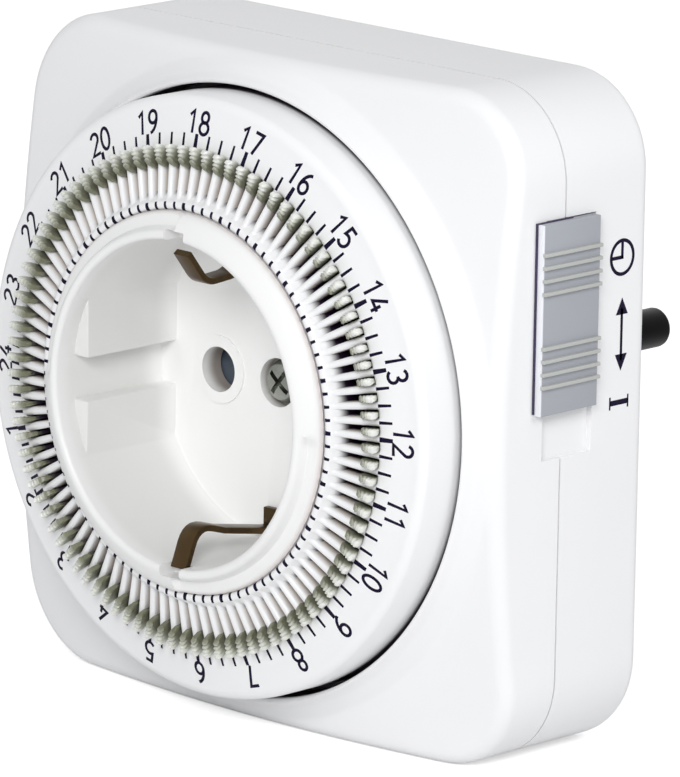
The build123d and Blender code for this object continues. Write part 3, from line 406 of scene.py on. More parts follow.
def back_section(angle):
    """Radii and levels from the plug's face over its side and the back to the inside."""
    section = [(0, 0), (PLUG_R * 0.5, 0)]
    for sine, rise in quarter(6, 0):
        section.append((PLUG_R - PLUG_ROUND * (1 - sine), -PLUG_ROUND * rise))
    for sine, rise in quarter(4, 0):
        level = BACK_Y + PLUG_FOOT_FILLET * (1 - sine)
        section.append((PLUG_R + PLUG_FOOT_FILLET * rise, level))
    flat = between(PLUG_R + PLUG_FOOT_FILLET, outline_r(angle, BACK_ROUND), 3)
    section += [(radius, BACK_Y) for radius in flat]
    for sine, rise in quarter(8):
        radius = outline_r(angle, BACK_ROUND * (1 - sine))
        section.append((radius, BACK_Y - BACK_ROUND * rise))
    section += parting_edge(angle, PARTING_GAP)
    section += [(outline_r(angle, WALL), BACK_INNER_Y), (PLUG_CAVITY_R, BACK_INNER_Y)]
    return section + [(PLUG_CAVITY_R, PLUG_CAVITY_Y), (0, PLUG_CAVITY_Y)]


back_cover = spin("back_cover", back_section, TURNS)


def turned_tool(profile, centre=(0, 0), sides=64):
    """A closed turned bar along Y, given by its radii and levels, to cut or join."""
    closed = [(0, profile[0][1]), *profile, (0, profile[-1][1])]
    return spin("tool", lambda angle: closed, sides, centre=centre)


def drum_tool(radius, y_range, centre=(0, 0), sides=64):
    """A closed round bar along Y, to cut or join."""
    return turned_tool([(radius, level) for level in y_range], centre, sides)


def limits(side, near, far):
    """Two distances to the middle as a pair of limits on one side of it."""
    return sorted((side * near, side * far))


for side in (-1, 1):
    for up in (-1, 1):
        groove_x = limits(side, GROOVE_X, PLUG_R + SPARE)
        combine(back_cover, box_tool(groove_x, (GROOVE_END_Y, SPARE), limits(up, *GROOVE_Z)))
    recess_x = (-EARTH_RECESS_HALF, EARTH_RECESS_HALF)
    recess_z = limits(side, EARTH_RECESS_Z, PLUG_R + SPARE)
    combine(back_cover, box_tool(recess_x, (GROOVE_END_Y, SPARE), recess_z))
    slot_x = (-EARTH_SLOT_HALF, EARTH_SLOT_HALF)
    slot_z = limits(side, EARTH_RECESS_Z, EARTH_SLOT_END_Z)
    combine(back_cover, box_tool(slot_x, (BACK_INNER_Y - 1, BACK_Y + 1), slot_z))
for side in (-1, 1):
    corner = (side * SCREW_OFFSET, -side * SCREW_OFFSET)
    boss_x, boss_z = [(middle - SCREW_BOSS_HALF, middle + SCREW_BOSS_HALF) for middle in corner]
    combine(back_cover, box_tool(boss_x, (PARTING_Y + 0.1, BACK_INNER_Y + 1), boss_z), "UNION")
    well = [(SCREW_HOLE_R, PARTING_Y - 1), (SCREW_HOLE_R, SCREW_WELL_Y)]
    well += [(SCREW_WELL_R, SCREW_WELL_Y), (SCREW_WELL_R, 0)]
    combine(back_cover, turned_tool(well, corner))
    seat = [(PLUG_PIN_HOLE_R, -6), (PLUG_PIN_HOLE_R, PLUG_PIN_SEAT_Y)]
    seat += [(PLUG_PIN_SEAT_R, PLUG_PIN_SEAT_Y), (PLUG_PIN_SEAT_R, 5)]
    combine(back_cover, turned_tool(seat, (side * PLUG_PIN_X, 0)))
cut_slider_pocket(back_cover)
smooth(back_cover)
dress(back_cover, housing_white, "housing", ["rear_shell"])


# Dial. White gloss plastic ring with 96 radial slots, one for each quarter of an hour. The
# bars between the slots have rounded tops, and the dial's outer edge is rolled over.
DIAL_BORE_R = 21.9
DIAL_R = 35.3
DIAL_FRONT_Y = -52.3
DIAL_SLOPE = 0.226
DIAL_EDGE = 1.5
DIAL_EDGE_DROP = 1.15
DIAL_BACK_Y = -38.0
WEB_BACK_Y = -45.65
SKIRT_R = 33.55
SLOT_COUNT = 96
SLOT_PITCH = 360.0 / SLOT_COUNT
SLOT_PHASE = 3.155
SLOT_HALF_ANGLE = 0.888
SLOT_INNER_R = 24.4
SLOT_OUTER_R = 29.2
SLOT_RAMP_DEPTH = 1.3
BAR_ROUND = 0.34
# The dial's inner edge is rolled over to a low bead: radius and level of its profile.
BEAD = [(22.4, -52.08), (22.48, -52.26), (22.64, -52.4), (22.84, -52.46), (23.06, -52.46)]
BEAD += [(23.26, -52.4), (23.42, -52.27), (23.6, -52.05), (23.8, -51.87)]


def dial_level(radius):
    """Level of the dial's sloping front face, with the bead at its inner edge."""
    for (low_r, low_y), (high_r, high_y) in zip(BEAD, BEAD[1:]):
        if low_r <= radius <= high_r:
            return low_y + (high_y - low_y) * (radius - low_r) / (high_r - low_r)
    return DIAL_FRONT_Y + DIAL_SLOPE * (radius - DIAL_BORE_R)


def ring_faces(size, count, base=0):
    """Faces that join count rings of size points into a tube, without its ends."""
    faces = []
    for low in range(base, base + (count - 1) * size, size):
        for i in range(size):
            k = (i + 1) % size
            faces.append([low + i, low + k, low + size + k, low + size + i])
    return faces


def dial_sector():
    """One slot with half a bar on each side, as an open skin at angle 0."""
    angles = [-SLOT_PITCH / 2, -1.6, -1.34, -1.13, -0.98, -SLOT_HALF_ANGLE]
    drops = [0.0, 0.03, 0.1, 0.2, 0.31, BAR_ROUND]
    # The radii of the face, with the share of the bar's rounding that each gets.
    face = [(radius, 0.0) for radius, level in BEAD[:-3]]
    face += [(BEAD[-3][0], 0.1), (BEAD[-2][0], 0.35), (BEAD[-1][0], 0.75)]
    face += [(SLOT_INNER_R, 1.0), (SLOT_OUTER_R, 1.0), (SLOT_OUTER_R + 0.15, 0.4)]
    face += [(SLOT_OUTER_R + 0.5, 0.0), (31.5, 0.0), (33.0, 0.0)]
    bore = [(DIAL_BORE_R, WEB_BACK_Y), (DIAL_BORE_R, DIAL_FRONT_Y + 0.4)]
    bore.append((DIAL_BORE_R + 0.25, DIAL_FRONT_Y + 0.3))
    edge_r = DIAL_R - DIAL_EDGE
    edge_y = dial_level(edge_r)
    rest = [(edge_r + DIAL_EDGE * s, edge_y + DIAL_EDGE_DROP * rise) for s, rise in quarter(7, 0)]
    rest += [(DIAL_R, DIAL_BACK_Y), (SKIRT_R, DIAL_BACK_Y), (SKIRT_R, WEB_BACK_Y)]
    rest += [(SLOT_OUTER_R, WEB_BACK_Y), (SLOT_INNER_R, WEB_BACK_Y)]
    mirrored = [-angle for angle in reversed(angles)]
    points = []
    for angle, drop in zip(angles + mirrored, drops + drops[::-1]):
        top = [(radius, dial_level(radius) + drop * share) for radius, share in face]
        if abs(angle) == SLOT_HALF_ANGLE:
            top[len(BEAD)] = (SLOT_INNER_R, dial_level(SLOT_INNER_R) + SLOT_RAMP_DEPTH)
        points += [place(radius, angle, y) for radius, y in bore + top + rest]
    stations = len(bore + face + rest)
    faces = ring_faces(stations, 2 * len(angles))
    # The front and back faces over the slot go, and the slot's sides and ends come in.
    left = (len(angles) - 1) * stations
    right = left + stations
    first = len(bore) + len(BEAD)
    faces.pop(left + stations - 2)
    faces.pop(left + first)
    ends = (first, first + 1, stations - 2, stations - 1)
    inner_top, outer_top, outer_back, inner_back = ends
    faces.append([left + end for end in (inner_top, inner_back, outer_back, outer_top)])
    faces.append([right + end for end in ends])
    faces.append([left + inner_top, right + inner_top, right + inner_back, left + inner_back])
    faces.append([left + outer_top, left + outer_back, right + outer_back, right + outer_top])
    return points, faces


def copies_tree(name):
    """A new Geometry Nodes tree for copies of a template, and its inputs."""
    tree = bpy.data.node_groups.new(name, "GeometryNodeTree")
    kinds = {"Template": "Geometry", "Count": "Int", "Pitch": "Float", "Start": "Float"}
    kinds.update({"Weld Distance": "Float", "Material": "Material"})
    for socket, kind in kinds.items():
        tree.interface.new_socket(socket, in_out="INPUT", socket_type=f"NodeSocket{kind}")
    tree.interface.new_socket("Geometry", in_out="OUTPUT", socket_type="NodeSocketGeometry")
    return tree, tree.nodes.new("NodeGroupInput").outputs


def finish_tree(tree, given, spots):
    """Sets real copies of the template on points, welds them and gives them the material."""
    spots = {"Instance": given["Template"], **spots}
    copies = add_node(tree, "GeometryNodeInstanceOnPoints", spots)[0]
    real = add_node(tree, "GeometryNodeRealizeInstances", {0: copies})[0]
    welded = {"Geometry": real, "Distance": given["Weld Distance"]}
    weld = add_node(tree, "GeometryNodeMergeByDistance", welded)[0]
    painted = {"Geometry": weld, "Material": given["Material"]}
    paint = add_node(tree, "GeometryNodeSetMaterial", painted)[0]
    feed(tree, tree.nodes.new("NodeGroupOutput"), {"Geometry": paint})
    return tree


def run_tree(piece, tree, values):
    """Runs a tree on a piece and leaves its plain mesh."""
    modifier = piece.modifiers.new("copies", "NODES")
    modifier.node_group = tree
    for socket in tree.interface.items_tree:
        if socket.in_out == "INPUT" and socket.name in values:
            modifier[socket.identifier] = values[socket.name]
    make_plain(piece)


def ring_of_copies_tree():
    """Geometry Nodes that set copies of a template round the dial's axis."""
    tree, given = copies_tree("ring_of_copies")
    points = add_node(tree, "GeometryNodePoints", {"Count": given["Count"]})[0]
    index = tree.nodes.new("GeometryNodeInputIndex").outputs["Index"]
    turn = calculate(tree, "MULTIPLY_ADD", index, given["Pitch"], given["Start"])
    reverse = calculate(tree, "MULTIPLY", turn, -1.0)
    rotation = add_node(tree, "ShaderNodeCombineXYZ", {"Y": reverse})[0]
    return finish_tree(tree, given, {"Points": points, "Rotation": rotation})


ring_of_copies = ring_of_copies_tree()


def copies_round_dial(name, template, count, pitch, start, material, weld=0.0):
    """A plain mesh object of count copies of a template, pitch degrees apart."""
    piece = link_mesh(name, *template)
    values = {
        "Count": count,
        "Pitch": math.radians(pitch),
        "Start": math.radians(start),
        "Weld Distance": weld / 1000,
        "Material": material,
    }
    run_tree(piece, ring_of_copies, values)
    return piece


dial_white = moulded_plastic("dial_white", (0.88, 0.882, 0.888), 0.30)
# Painted shade in the dial's white: the slots' walls turn beige and then navy-black with depth
# below the sloping face, the slots' inner ends darken, and the dial's outer wall darkens in the
# gap by the lip.
SLOT_SHADE = (0.014, 0.006, 0.022)
face_foot = (DIAL_SLOPE, DIAL_BORE_R)
WALL_SHADE = (0.62, 0.56, 0.51)
SLOT_END_R = 24.45
SLOT_REACH_R = 30.0
HEAD_REACH_R = 31.0
wall_top = (DIAL_FRONT_Y + 0.3, DIAL_FRONT_Y + 1.0)
wall_deep = (DIAL_FRONT_Y + 0.95, DIAL_FRONT_Y + 1.9)
slot_end = (DIAL_FRONT_Y + 0.3, DIAL_FRONT_Y + 1.5)
shade_inside(dial_white, *wall_top, SLOT_REACH_R, WALL_SHADE, *face_foot, SLOT_END_R)
shade_inside(dial_white, *wall_deep, SLOT_REACH_R, SLOT_SHADE, *face_foot, SLOT_END_R)
shade_inside(dial_white, *slot_end, SLOT_END_R, SLOT_SHADE, *face_foot)
shade_inside(dial_white, -44.0, -43.1, DIAL_R + 1, (0.05, 0.035, 0.05))
dial_face = copies_round_dial(
    "dial_face", dial_sector(), SLOT_COUNT, SLOT_PITCH, SLOT_PHASE, dial_white, weld=0.01
)
smooth(dial_face, 40)
assign(dial_face, "dial", ["dial_ring"])


# Print on the dial. Dark blue ink: the hours 1 to 24 with their tops outwards, a long tick
# for each quarter of an hour outside the slots and a short one inside them.
HOURS = 24
HOUR_12_ANGLE = 1.28
INK_PROUD = 0.02
NUMERAL_R = 32.4
NUMERAL_HEIGHT = 2.62
NUMERAL_WIDTH = 1.42
NUMERAL_GAP = 0.5
STROKE = 0.38
OUTER_TICK = (29.4, 30.2, 31.1)
INNER_TICK = (22.42, 22.48, 22.64, 22.84, 23.06, 23.26, 23.36)


def arc(cx, cy, rx, ry, start, end, steps=10):
    """Points on an ellipse between two angles in degrees."""
    points = []
    for i in range(steps + 1):
        turn = math.radians(start + (end - start) * i / steps)
        points.append((cx + rx * math.cos(turn), cy + ry * math.sin(turn)))
    return points


# Each numeral's pen strokes in a frame one high.
FRAME_WIDTH = 0.52
NUMERALS = {
    "0": [arc(0.26, 0.5, 0.25, 0.48, 90, 450, 20)],
    "1": [[(0.08, 0.78), (0.3, 0.98), (0.3, 0.02)]],
    "2": [arc(0.26, 0.73, 0.23, 0.25, 165, -30, 10) + [(0.03, 0.03), (0.52, 0.03)]],
    "3": [arc(0.24, 0.74, 0.22, 0.24, 150, -85, 9), arc(0.24, 0.27, 0.26, 0.25, 85, -150, 10)],
    "4": [[(0.36, 0.98), (0.02, 0.28), (0.52, 0.28)], [(0.38, 0.55), (0.38, 0.02)]],
    "5": [[(0.47, 0.97), (0.12, 0.97), (0.08, 0.57)] + arc(0.24, 0.32, 0.26, 0.29, 105, -145, 11)],
    "6": [arc(0.5, 0.3, 0.46, 0.68, 100, 180, 6) + arc(0.27, 0.29, 0.23, 0.27, 180, 540, 16)],
    "7": [[(0.03, 0.97), (0.5, 0.97), (0.16, 0.02)]],
    "8": [arc(0.26, 0.74, 0.2, 0.23, 90, 450, 16), arc(0.26, 0.27, 0.25, 0.26, 90, 450, 16)],
    "9": [arc(0.02, 0.7, 0.46, 0.68, -80, 0, 6) + arc(0.25, 0.71, 0.23, 0.27, 0, 360, 16)],
}


def pen_stroke(path, width):
    """Outline of a pen stroke along a path, with square joints and round ends."""
    left, right = [], []
    closed = math.dist(path[0], path[-1]) < 1e-6
    count = len(path)
    for i, (px, py) in enumerate(path):
        before = path[i - 1] if i > 0 else (path[-2] if closed else None)
        after = path[i + 1] if i + 1 < count else (path[1] if closed else None)
        first = math.atan2(py - before[1], px - before[0]) if before else None
        second = math.atan2(after[1] - py, after[0] - px) if after else None
        first = second if first is None else first
        second = first if second is None else second
        bend = math.remainder(second - first, 2 * math.pi)
        reach = width / 2 / max(math.cos(bend / 2), 0.55)
        heading = first + bend / 2
        nx, ny = -math.sin(heading) * reach, math.cos(heading) * reach
        left.append((px + nx, py + ny))
        right.append((px - nx, py - ny))
    return left, right


def ink_strip(left, right, lift):
    """A thin closed film between two edges. lift turns (u, v, height) into a place."""
    points = []
    for edge in (left, right):
        for height in (1.0, -1.0):
            points += [lift(u, v, height) for u, v in edge]
    count = len(left)
    rows = [0, 2 * count, 3 * count, count]
    faces = [rows, [row + count - 1 for row in reversed(rows)]]
    for i in range(count - 1):
        for this, other in zip(rows, rows[1:] + rows[:1]):
            faces.append([this + i, this + i + 1, other + i + 1, other + i])
    return points, faces


def hour_numeral(hour):
    """The strips of one hour's figures on the dial."""
    turn = math.radians(HOUR_12_ANGLE + (hour - 12) * 360.0 / HOURS)
    across = Vector((math.sin(turn), 0, -math.cos(turn)))
    outward = Vector((math.cos(turn), 0, math.sin(turn)))

    def lift(u, v, height):
        spot = outward * (NUMERAL_R + v) + across * u
        spot.y = dial_level(math.hypot(spot.x, spot.z)) - INK_PROUD * height
        return spot

    text = str(hour)
    width = len(text) * NUMERAL_WIDTH + (len(text) - 1) * NUMERAL_GAP
    strips = []
    for place_in_text, figure in enumerate(text):
        left_side = -width / 2 + place_in_text * (NUMERAL_WIDTH + NUMERAL_GAP)
        for stroke in NUMERALS[figure]:
            path = []
            for u, v in stroke:
                across_text = left_side + u / FRAME_WIDTH * NUMERAL_WIDTH
                path.append((across_text, (v - 0.5) * NUMERAL_HEIGHT))
            strips.append(ink_strip(*pen_stroke(path, STROKE), lift))
    return strips


def printing_ink(name, colour):
    """Pad-printed ink: nearly matt, with slightly uneven cover."""
    material = moulded_plastic(name, colour, 0.5, grain=0.0004, bump=0.08, variation=0.25)
    material.node_tree.nodes["Principled BSDF"].inputs["Specular IOR Level"].default_value = 0.12
    return material


ink_blue = printing_ink("ink_blue", (0.007, 0.003, 0.024))


def print_piece(name, strips, body):
    """One finished piece of ink from several strips."""
    points, faces = [], []
    for strip_points, strip_faces in strips:
        faces += [[index + len(points) for index in face] for face in strip_faces]
        points += strip_points
    dress(link_mesh(name, points, faces), ink_blue, body)


numerals = [strip for hour in range(1, HOURS + 1) for strip in hour_numeral(hour)]
print_piece("dial_numerals", numerals, "dial")


def tick_template(radii, width):
    """One tick at angle 0, as a thin closed film that follows the dial's slope."""

    def lift(u, v, height):
        return (u, dial_level(math.hypot(u, v)) - INK_PROUD * height, v)

    reach = radii[-1] - radii[0]
    halves = [width / 2 * (1.1 - 0.25 * (radius - radii[0]) / reach) for radius in radii]
    edge = list(zip(radii, halves))
    other = [(radius, -half) for radius, half in edge]
    return ink_strip(edge, other, lift)


HOUR_PITCH = 360.0 / HOURS
ticks_of = (("outer", OUTER_TICK, 0.54, 0.35), ("inner", INNER_TICK, 0.52, 0.38))
for label, radii, thick, thin in ticks_of:
    kinds = [(f"hour_ticks_{label}", thick, 0)]
    kinds += [(f"quarter_{part}_ticks_{label}", thin, part) for part in (1, 2, 3)]
    for name, width, part in kinds:
        turns = (HOURS, HOUR_PITCH, HOUR_12_ANGLE + part * SLOT_PITCH)
        assign(copies_round_dial(name, tick_template(radii, width), *turns, ink_blue), "dial")


# Segments. 96 little levers of milky grey-green plastic, hooked on a wire ring inside the
# dial. Each leans outwards out of its slot; its head is a tapered grip with four lobes.
PIVOT_R = 25.5
PIVOT_Y = -45.2
LEAN = 25.2
NECK = 6.85
BLADE_THICKNESS = 0.4
TAIL = 3.2
# The head's levels from its neck to its top: inner end and outer end as radius and level,
# half its width, and how far the grooves between the lobes go in from the side and from the
# top. The lobes: how far along the head, and how deep.
HEAD_LEVELS = [
    ((27.2, -50.4), (28.75, -49.9), 0.18, 0.0, 0.0),
    ((27.2, -51.15), (29.3, -50.5), 0.27, 0.0, 0.0),
    ((27.5, -51.6), (29.7, -51.1), 0.33, 0.0, 0.0),
    ((27.72, -51.85), (29.9, -51.7), 0.47, 0.9, 0.1),
    ((27.87, -51.97), (29.92, -52.1), 0.43, 1.0, 0.25),
    ((28.05, -52.07), (29.8, -52.32), 0.27, 1.0, 0.45),
]
HEAD_LOBES = [(0.0, 0.6), (0.05, 0.3), (0.13, 0.0)]
for dip in (0.26, 0.51, 0.76):
    HEAD_LOBES += [(dip - 0.05, 0.2), (dip, 0.5), (dip + 0.05, 0.2), (dip + 0.12, 0.0)]
HEAD_LOBES += [(0.96, 0.3), (1.0, 0.6)]


def segment_place(u, v, w):
    """A point of a segment at angle 0: u across its blade, v up from its pivot, w sideways."""
    lean = math.radians(LEAN)
    radius = PIVOT_R + u * math.cos(lean) + v * math.sin(lean)
    return (radius, PIVOT_Y + u * math.sin(lean) - v * math.cos(lean), w)


def segment_template():
    """Blade with its hook, and the lobed head, as two closed skins."""
    half = BLADE_THICKNESS / 2
    outline = [(-0.9, 0.57), (0.57, 0.57), (0.57, -TAIL), (1.35, -TAIL), (1.35, 1.2), (0.75, 2.2)]
    outline += [(0.75, NECK), (-0.75, NECK), (-0.75, 1.6)]
    points = [segment_place(u, v, w) for w in (half, -half) for u, v in outline]
    count = len(outline)
    faces = [list(range(count)), list(range(2 * count - 1, count - 1, -1))]
    faces += ring_faces(count, 2)
    base = len(points)
    for (inner_r, inner_y), (outer_r, outer_y), half_width, lobed, sunk in HEAD_LEVELS:
        side = []
        for share, dent in HEAD_LOBES:
            radius = inner_r + (outer_r - inner_r) * share
            level = inner_y + (outer_y - inner_y) * share
            at_end = share in (0.0, 1.0)
            width = half_width * (1 - dent * (0.6 if at_end else lobed))
            side.append((radius, level + sunk * dent * (0.3 if at_end else 1.0), width))
        points += side + [(radius, level, -w) for radius, level, w in reversed(side)]
    ring_size = 2 * len(HEAD_LOBES)
    faces += ring_faces(ring_size, len(HEAD_LEVELS), base)
    for bottom in (base, base + (len(HEAD_LEVELS) - 1) * ring_size):
        for i in range(len(HEAD_LOBES) - 1):
            other = bottom + ring_size - 1 - i
            faces.append([bottom + i, bottom + i + 1, other - 1, other])
    return points, faces


def milky_plastic(name, colour):
    """Slightly clear plastic: light goes a little way in and comes out softened."""
    material = moulded_plastic(name, colour, 0.3, grain=0.0004, bump=0.12, variation=0.12)
    tree = material.node_tree
    milk = {"Subsurface Weight": 0.6, "Subsurface Radius": (0.0012, 0.0013, 0.0010)}
    milk.update({"Subsurface Scale": 1.0, "Transmission Weight": 0.08})
    feed(tree, tree.nodes["Principled BSDF"], milk)
    return material


segment_clear = milky_plastic("segment_clear", (0.86, 0.875, 0.81))
# Painted shade in the segments' plastic: the heads darken to olive from their outer tops to their
# inner feet, and the blades darken deep in the slots.
HEAD_SHADE = (0.19, 0.195, 0.125)
blade_deep = (DIAL_FRONT_Y + 0.1, DIAL_FRONT_Y + 1.0)
shade_inside(segment_clear, -60.0, -57.5, HEAD_REACH_R, HEAD_SHADE, 1.0, DIAL_BORE_R)
shade_inside(segment_clear, *blade_deep, HEAD_REACH_R, SLOT_SHADE, *face_foot)
SEGMENTS_PER_HOUR = SLOT_COUNT // HOURS
for hour in range(1, HOURS + 1):
    turns = (SEGMENTS_PER_HOUR, SLOT_PITCH, SLOT_PHASE + (hour - 12) * HOUR_PITCH)
    name = f"segments_{hour:02d}"
    segments = copies_round_dial(name, segment_template(), *turns, segment_clear)
    smooth(segments, 45)
    assign(segments, f"hour_{hour:02d}", [f"segments_hour_{hour:02d}"])


# Socket insert. White gloss plastic cup for a round plug, put in from the front. Its collar
# covers the dial's bore, its rim is rounded, and two pairs of guide blocks stand inside.
SOCKET_R = 19.2
SOCKET_OUTER_R = 20.9
SOCKET_FLOOR_Y = -37.1
SOCKET_BACK_Y = -34.3
RIM_Y = -54.6
COLLAR_Y = -52.4
GUIDE_FLAT_X = 16.8
GUIDE_Z = {1: (2.2, 9.7), -1: (-10.4, -3.0)}
GUIDE_FRONT_Y = -51.6
PIN_X = 9.5
PIN_HOLE_R = 2.7
PIN_RING_R = 4.05
PIN_RING_PROUD = 0.3
NOTCH_HALF = 1.6
NOTCH_BACK_Y = -52.0
CLIP_SLOT_HALF = 1.5
CLIP_SLOT_Z = (16.6, 18.0)
SCREW_HEAD_R = 2.6
SCREW_WELL_DEPTH = 1.6
SHANK_HOLE_R = 1.6
SOCKET_TURNS = 240

# The rim's outer slope, as radius and drop below the crest: a quarter turn with one even
# slope, and the next with a step in it.
EVEN_SLOPE = [(20.26, 0.13), (20.5, 0.24), (20.72, 0.35), (20.95, 0.47), (21.3, 0.67)]
EVEN_SLOPE += [(21.8, 0.98), (22.08, 1.2), (22.28, 1.48)]
STEPPED_SLOPE = [(20.26, 0.2), (20.46, 0.55), (20.6, 1.05), (20.8, 1.4), (21.3, 1.48)]
STEPPED_SLOPE += [(21.8, 1.56), (22.1, 1.68), (22.28, 1.85)]
STEP_BLEND = 1.2


def socket_section(angle):
    """Half section of the cup; the step comes in over a degree or so of turn."""
    into = angle % 180 - 90
    stepped = max(0.0, min(1.0, into / STEP_BLEND, (88 - into) / STEP_BLEND + 1))
    section = [(0, SOCKET_FLOOR_Y), (18.7, SOCKET_FLOOR_Y), (19.05, SOCKET_FLOOR_Y - 0.15)]
    section += [(SOCKET_R, SOCKET_FLOOR_Y - 0.5), (SOCKET_R, RIM_Y + 0.55)]
    section += [(19.28, RIM_Y + 0.27), (19.48, RIM_Y + 0.08), (19.75, RIM_Y)]
    section.append((20.02, RIM_Y + 0.04))
    for (radius, even), (step_radius, step) in zip(EVEN_SLOPE, STEPPED_SLOPE):
        drop = even + (step - even) * stepped
        section.append((radius + (step_radius - radius) * stepped, RIM_Y + drop))
    section += [(22.36, RIM_Y + 2.14), (22.37, COLLAR_Y), (SOCKET_OUTER_R, COLLAR_Y)]
    return section + [(SOCKET_OUTER_R, SOCKET_BACK_Y), (0, SOCKET_BACK_Y)]


socket_cup = spin("socket_cup", socket_section, SOCKET_TURNS)
for side in (-1, 1):
    ring_y = (SOCKET_FLOOR_Y - PIN_RING_PROUD, SOCKET_FLOOR_Y + 1)
    ring = drum_tool(PIN_RING_R, ring_y, (side * PIN_X, 0), sides=90)
    combine(socket_cup, ring, "UNION")
    for up in (-1, 1):
        guide_x = limits(side, GUIDE_FLAT_X, SOCKET_R + 0.8)
        guide_y = (GUIDE_FRONT_Y, SOCKET_FLOOR_Y + 1)
        guide = box_tool(guide_x, guide_y, GUIDE_Z[up], rounding=0.22)
        combine(socket_cup, guide, "UNION")
for side in (-1, 1):
    combine(socket_cup, drum_tool(PIN_HOLE_R, (RIM_Y, SOCKET_BACK_Y + 1), (side * PIN_X, 0)))
    notch_z = limits(side, SOCKET_R - 3, SOCKET_OUTER_R - 0.5)
    notch = box_tool((-NOTCH_HALF, NOTCH_HALF), (RIM_Y - 1, NOTCH_BACK_Y), notch_z, rounding=0.25)
    combine(socket_cup, notch)
    slot_x = (-CLIP_SLOT_HALF, CLIP_SLOT_HALF)
    slot = box_tool(slot_x, (RIM_Y, SOCKET_BACK_Y + 1), limits(side, *CLIP_SLOT_Z))
    combine(socket_cup, slot)
well_y = SOCKET_FLOOR_Y + SCREW_WELL_DEPTH
combine(socket_cup, drum_tool(SCREW_HEAD_R + 0.3, (RIM_Y, well_y)))
combine(socket_cup, drum_tool(SHANK_HOLE_R, (RIM_Y, SOCKET_BACK_Y + 1)))
work = bmesh.new()
work.from_mesh(socket_cup.data)
bmesh.ops.remove_doubles(work, verts=work.verts, dist=5e-6)
bmesh.ops.dissolve_degenerate(work, dist=5e-6, edges=work.edges)
bmesh.ops.dissolve_limit(work, angle_limit=0.005, verts=work.verts, edges=work.edges)
work.to_mesh(socket_cup.data)
work.free()
smooth(socket_cup, 35)
socket_white = moulded_plastic("socket_white", (0.86, 0.86, 0.855), 0.33)
# Painted light and shade in the cup's white: its walls darker under the rim, its floor lighter,
# its pin holes dark, and a darker band on the rim's outer edge beside the dial.
shade_inside(socket_white, -54.0, -51.5, SOCKET_R + 0.1, (0.78, 0.78, 0.765))
shade_inside(socket_white, -41.0, -37.2, SOCKET_R + 0.1, (0.95, 0.95, 0.94))
shade_inside(socket_white, -37.0, -35.2, SOCKET_R + 0.1, (0.36, 0.32, 0.29))
shade_inside(socket_white, -53.2, -52.45, 23.5, (0.74, 0.68, 0.66), from_r=22.0)
dress(socket_cup, socket_white, "housing", ["socket_insert"])


# Central screw. Zinc-plated steel with a low domed head and a cross recess. It goes through
# the cup's floor into the back cover and holds the cup.
def brushed_metal(name, colour, roughness, stretch=(1, 1, 1)):
    """Bare or plated metal with fine drawn or polished marks and uneven gloss."""
    material, tree, shader = new_material(name)
    shader.inputs["Metallic"].default_value = 1.0
    place_in = object_place(tree)
    stretched = {"Vector": place_in, "Scale": stretch}
    marks_in = add_node(tree, "ShaderNodeMapping", stretched)["Vector"]
    marks = noise(tree, marks_in, 900.0, 4.0)
    blotch = noise(tree, place_in, 220.0, 2.0)
    gloss = (marks, roughness - 0.07, roughness + 0.12)
    relief = (marks, 0.15, 0.00005)
    set_finish(tree, shader, colour, (blotch, 0.72, (0.35, 0.62)), gloss, relief)
    return material


zinc_steel = brushed_metal("zinc_steel", (0.36, 0.37, 0.34), 0.21)
SCREW_SHANK_R = 1.45
SCREW_SHANK_LENGTH = 12
CROSS_HALF_LENGTH = 1.75
CROSS_HALF_WIDTH = 0.3
# The head and shank, as radius and height over the head's seat.
SCREW_HEAD = [(0, 1.6), (1.3, 1.55), (2.1, 1.33), (2.5, 0.7), (SCREW_HEAD_R, 0.4)]
SCREW_HEAD += [(SCREW_HEAD_R, 0), (SCREW_SHANK_R, 0)]
SCREW_HEAD += [(SCREW_SHANK_R, -SCREW_SHANK_LENGTH), (0, -SCREW_SHANK_LENGTH)]
TURNED_SIDES = 48
screw_section = [(radius, well_y - height) for radius, height in SCREW_HEAD]
screw_head = spin("central_screw", lambda angle: screw_section, TURNED_SIDES)
for turn_angle in (38, 128):
    arm_x = (-CROSS_HALF_LENGTH, CROSS_HALF_LENGTH)
    arm_z = (-CROSS_HALF_WIDTH, CROSS_HALF_WIDTH)
    arm = box_tool(arm_x, (well_y - 3, well_y - 0.5), arm_z)
    arm.data.transform(Matrix.Rotation(math.radians(turn_angle), 4, "Y"))
    combine(screw_head, arm)
smooth(screw_head, 30)
dress(screw_head, zinc_steel, "housing", ["socket_screw"])


# Earth clips. Dark bronze strip, bent so that its bulge springs on to the plug's side
# contact; the same strip runs on through the floor to the plug's own earth contact.
CLIP_HALF_WIDTH = 1.2
CLIP_THICKNESS = 0.8
CLIP_BEND_R = 2.6
CLIP_FOOT_Y = (-38.0, -37.15)
CLIP_FOOT_Z = (14.9, 17.3)


def rounded_path(corners, radius, steps=6):
    """A path whose inner corners are replaced by arcs."""
    corners = [Vector(corner) for corner in corners]
    path = [corners[0]]
    for before, corner, after in zip(corners, corners[1:], corners[2:]):
        back_way = (before - corner).normalized()
        on_way = (after - corner).normalized()
        half_angle = back_way.angle(on_way) / 2
        reach = min(radius / math.tan(half_angle), (before - corner).length * 0.45)
        first, last = corner + back_way * reach, corner + on_way * reach
        for step in range(steps + 1):
            t = step / steps
            path.append(first.lerp(corner, t).lerp(corner.lerp(last, t), t))
    path.append(corners[-1])
    return path


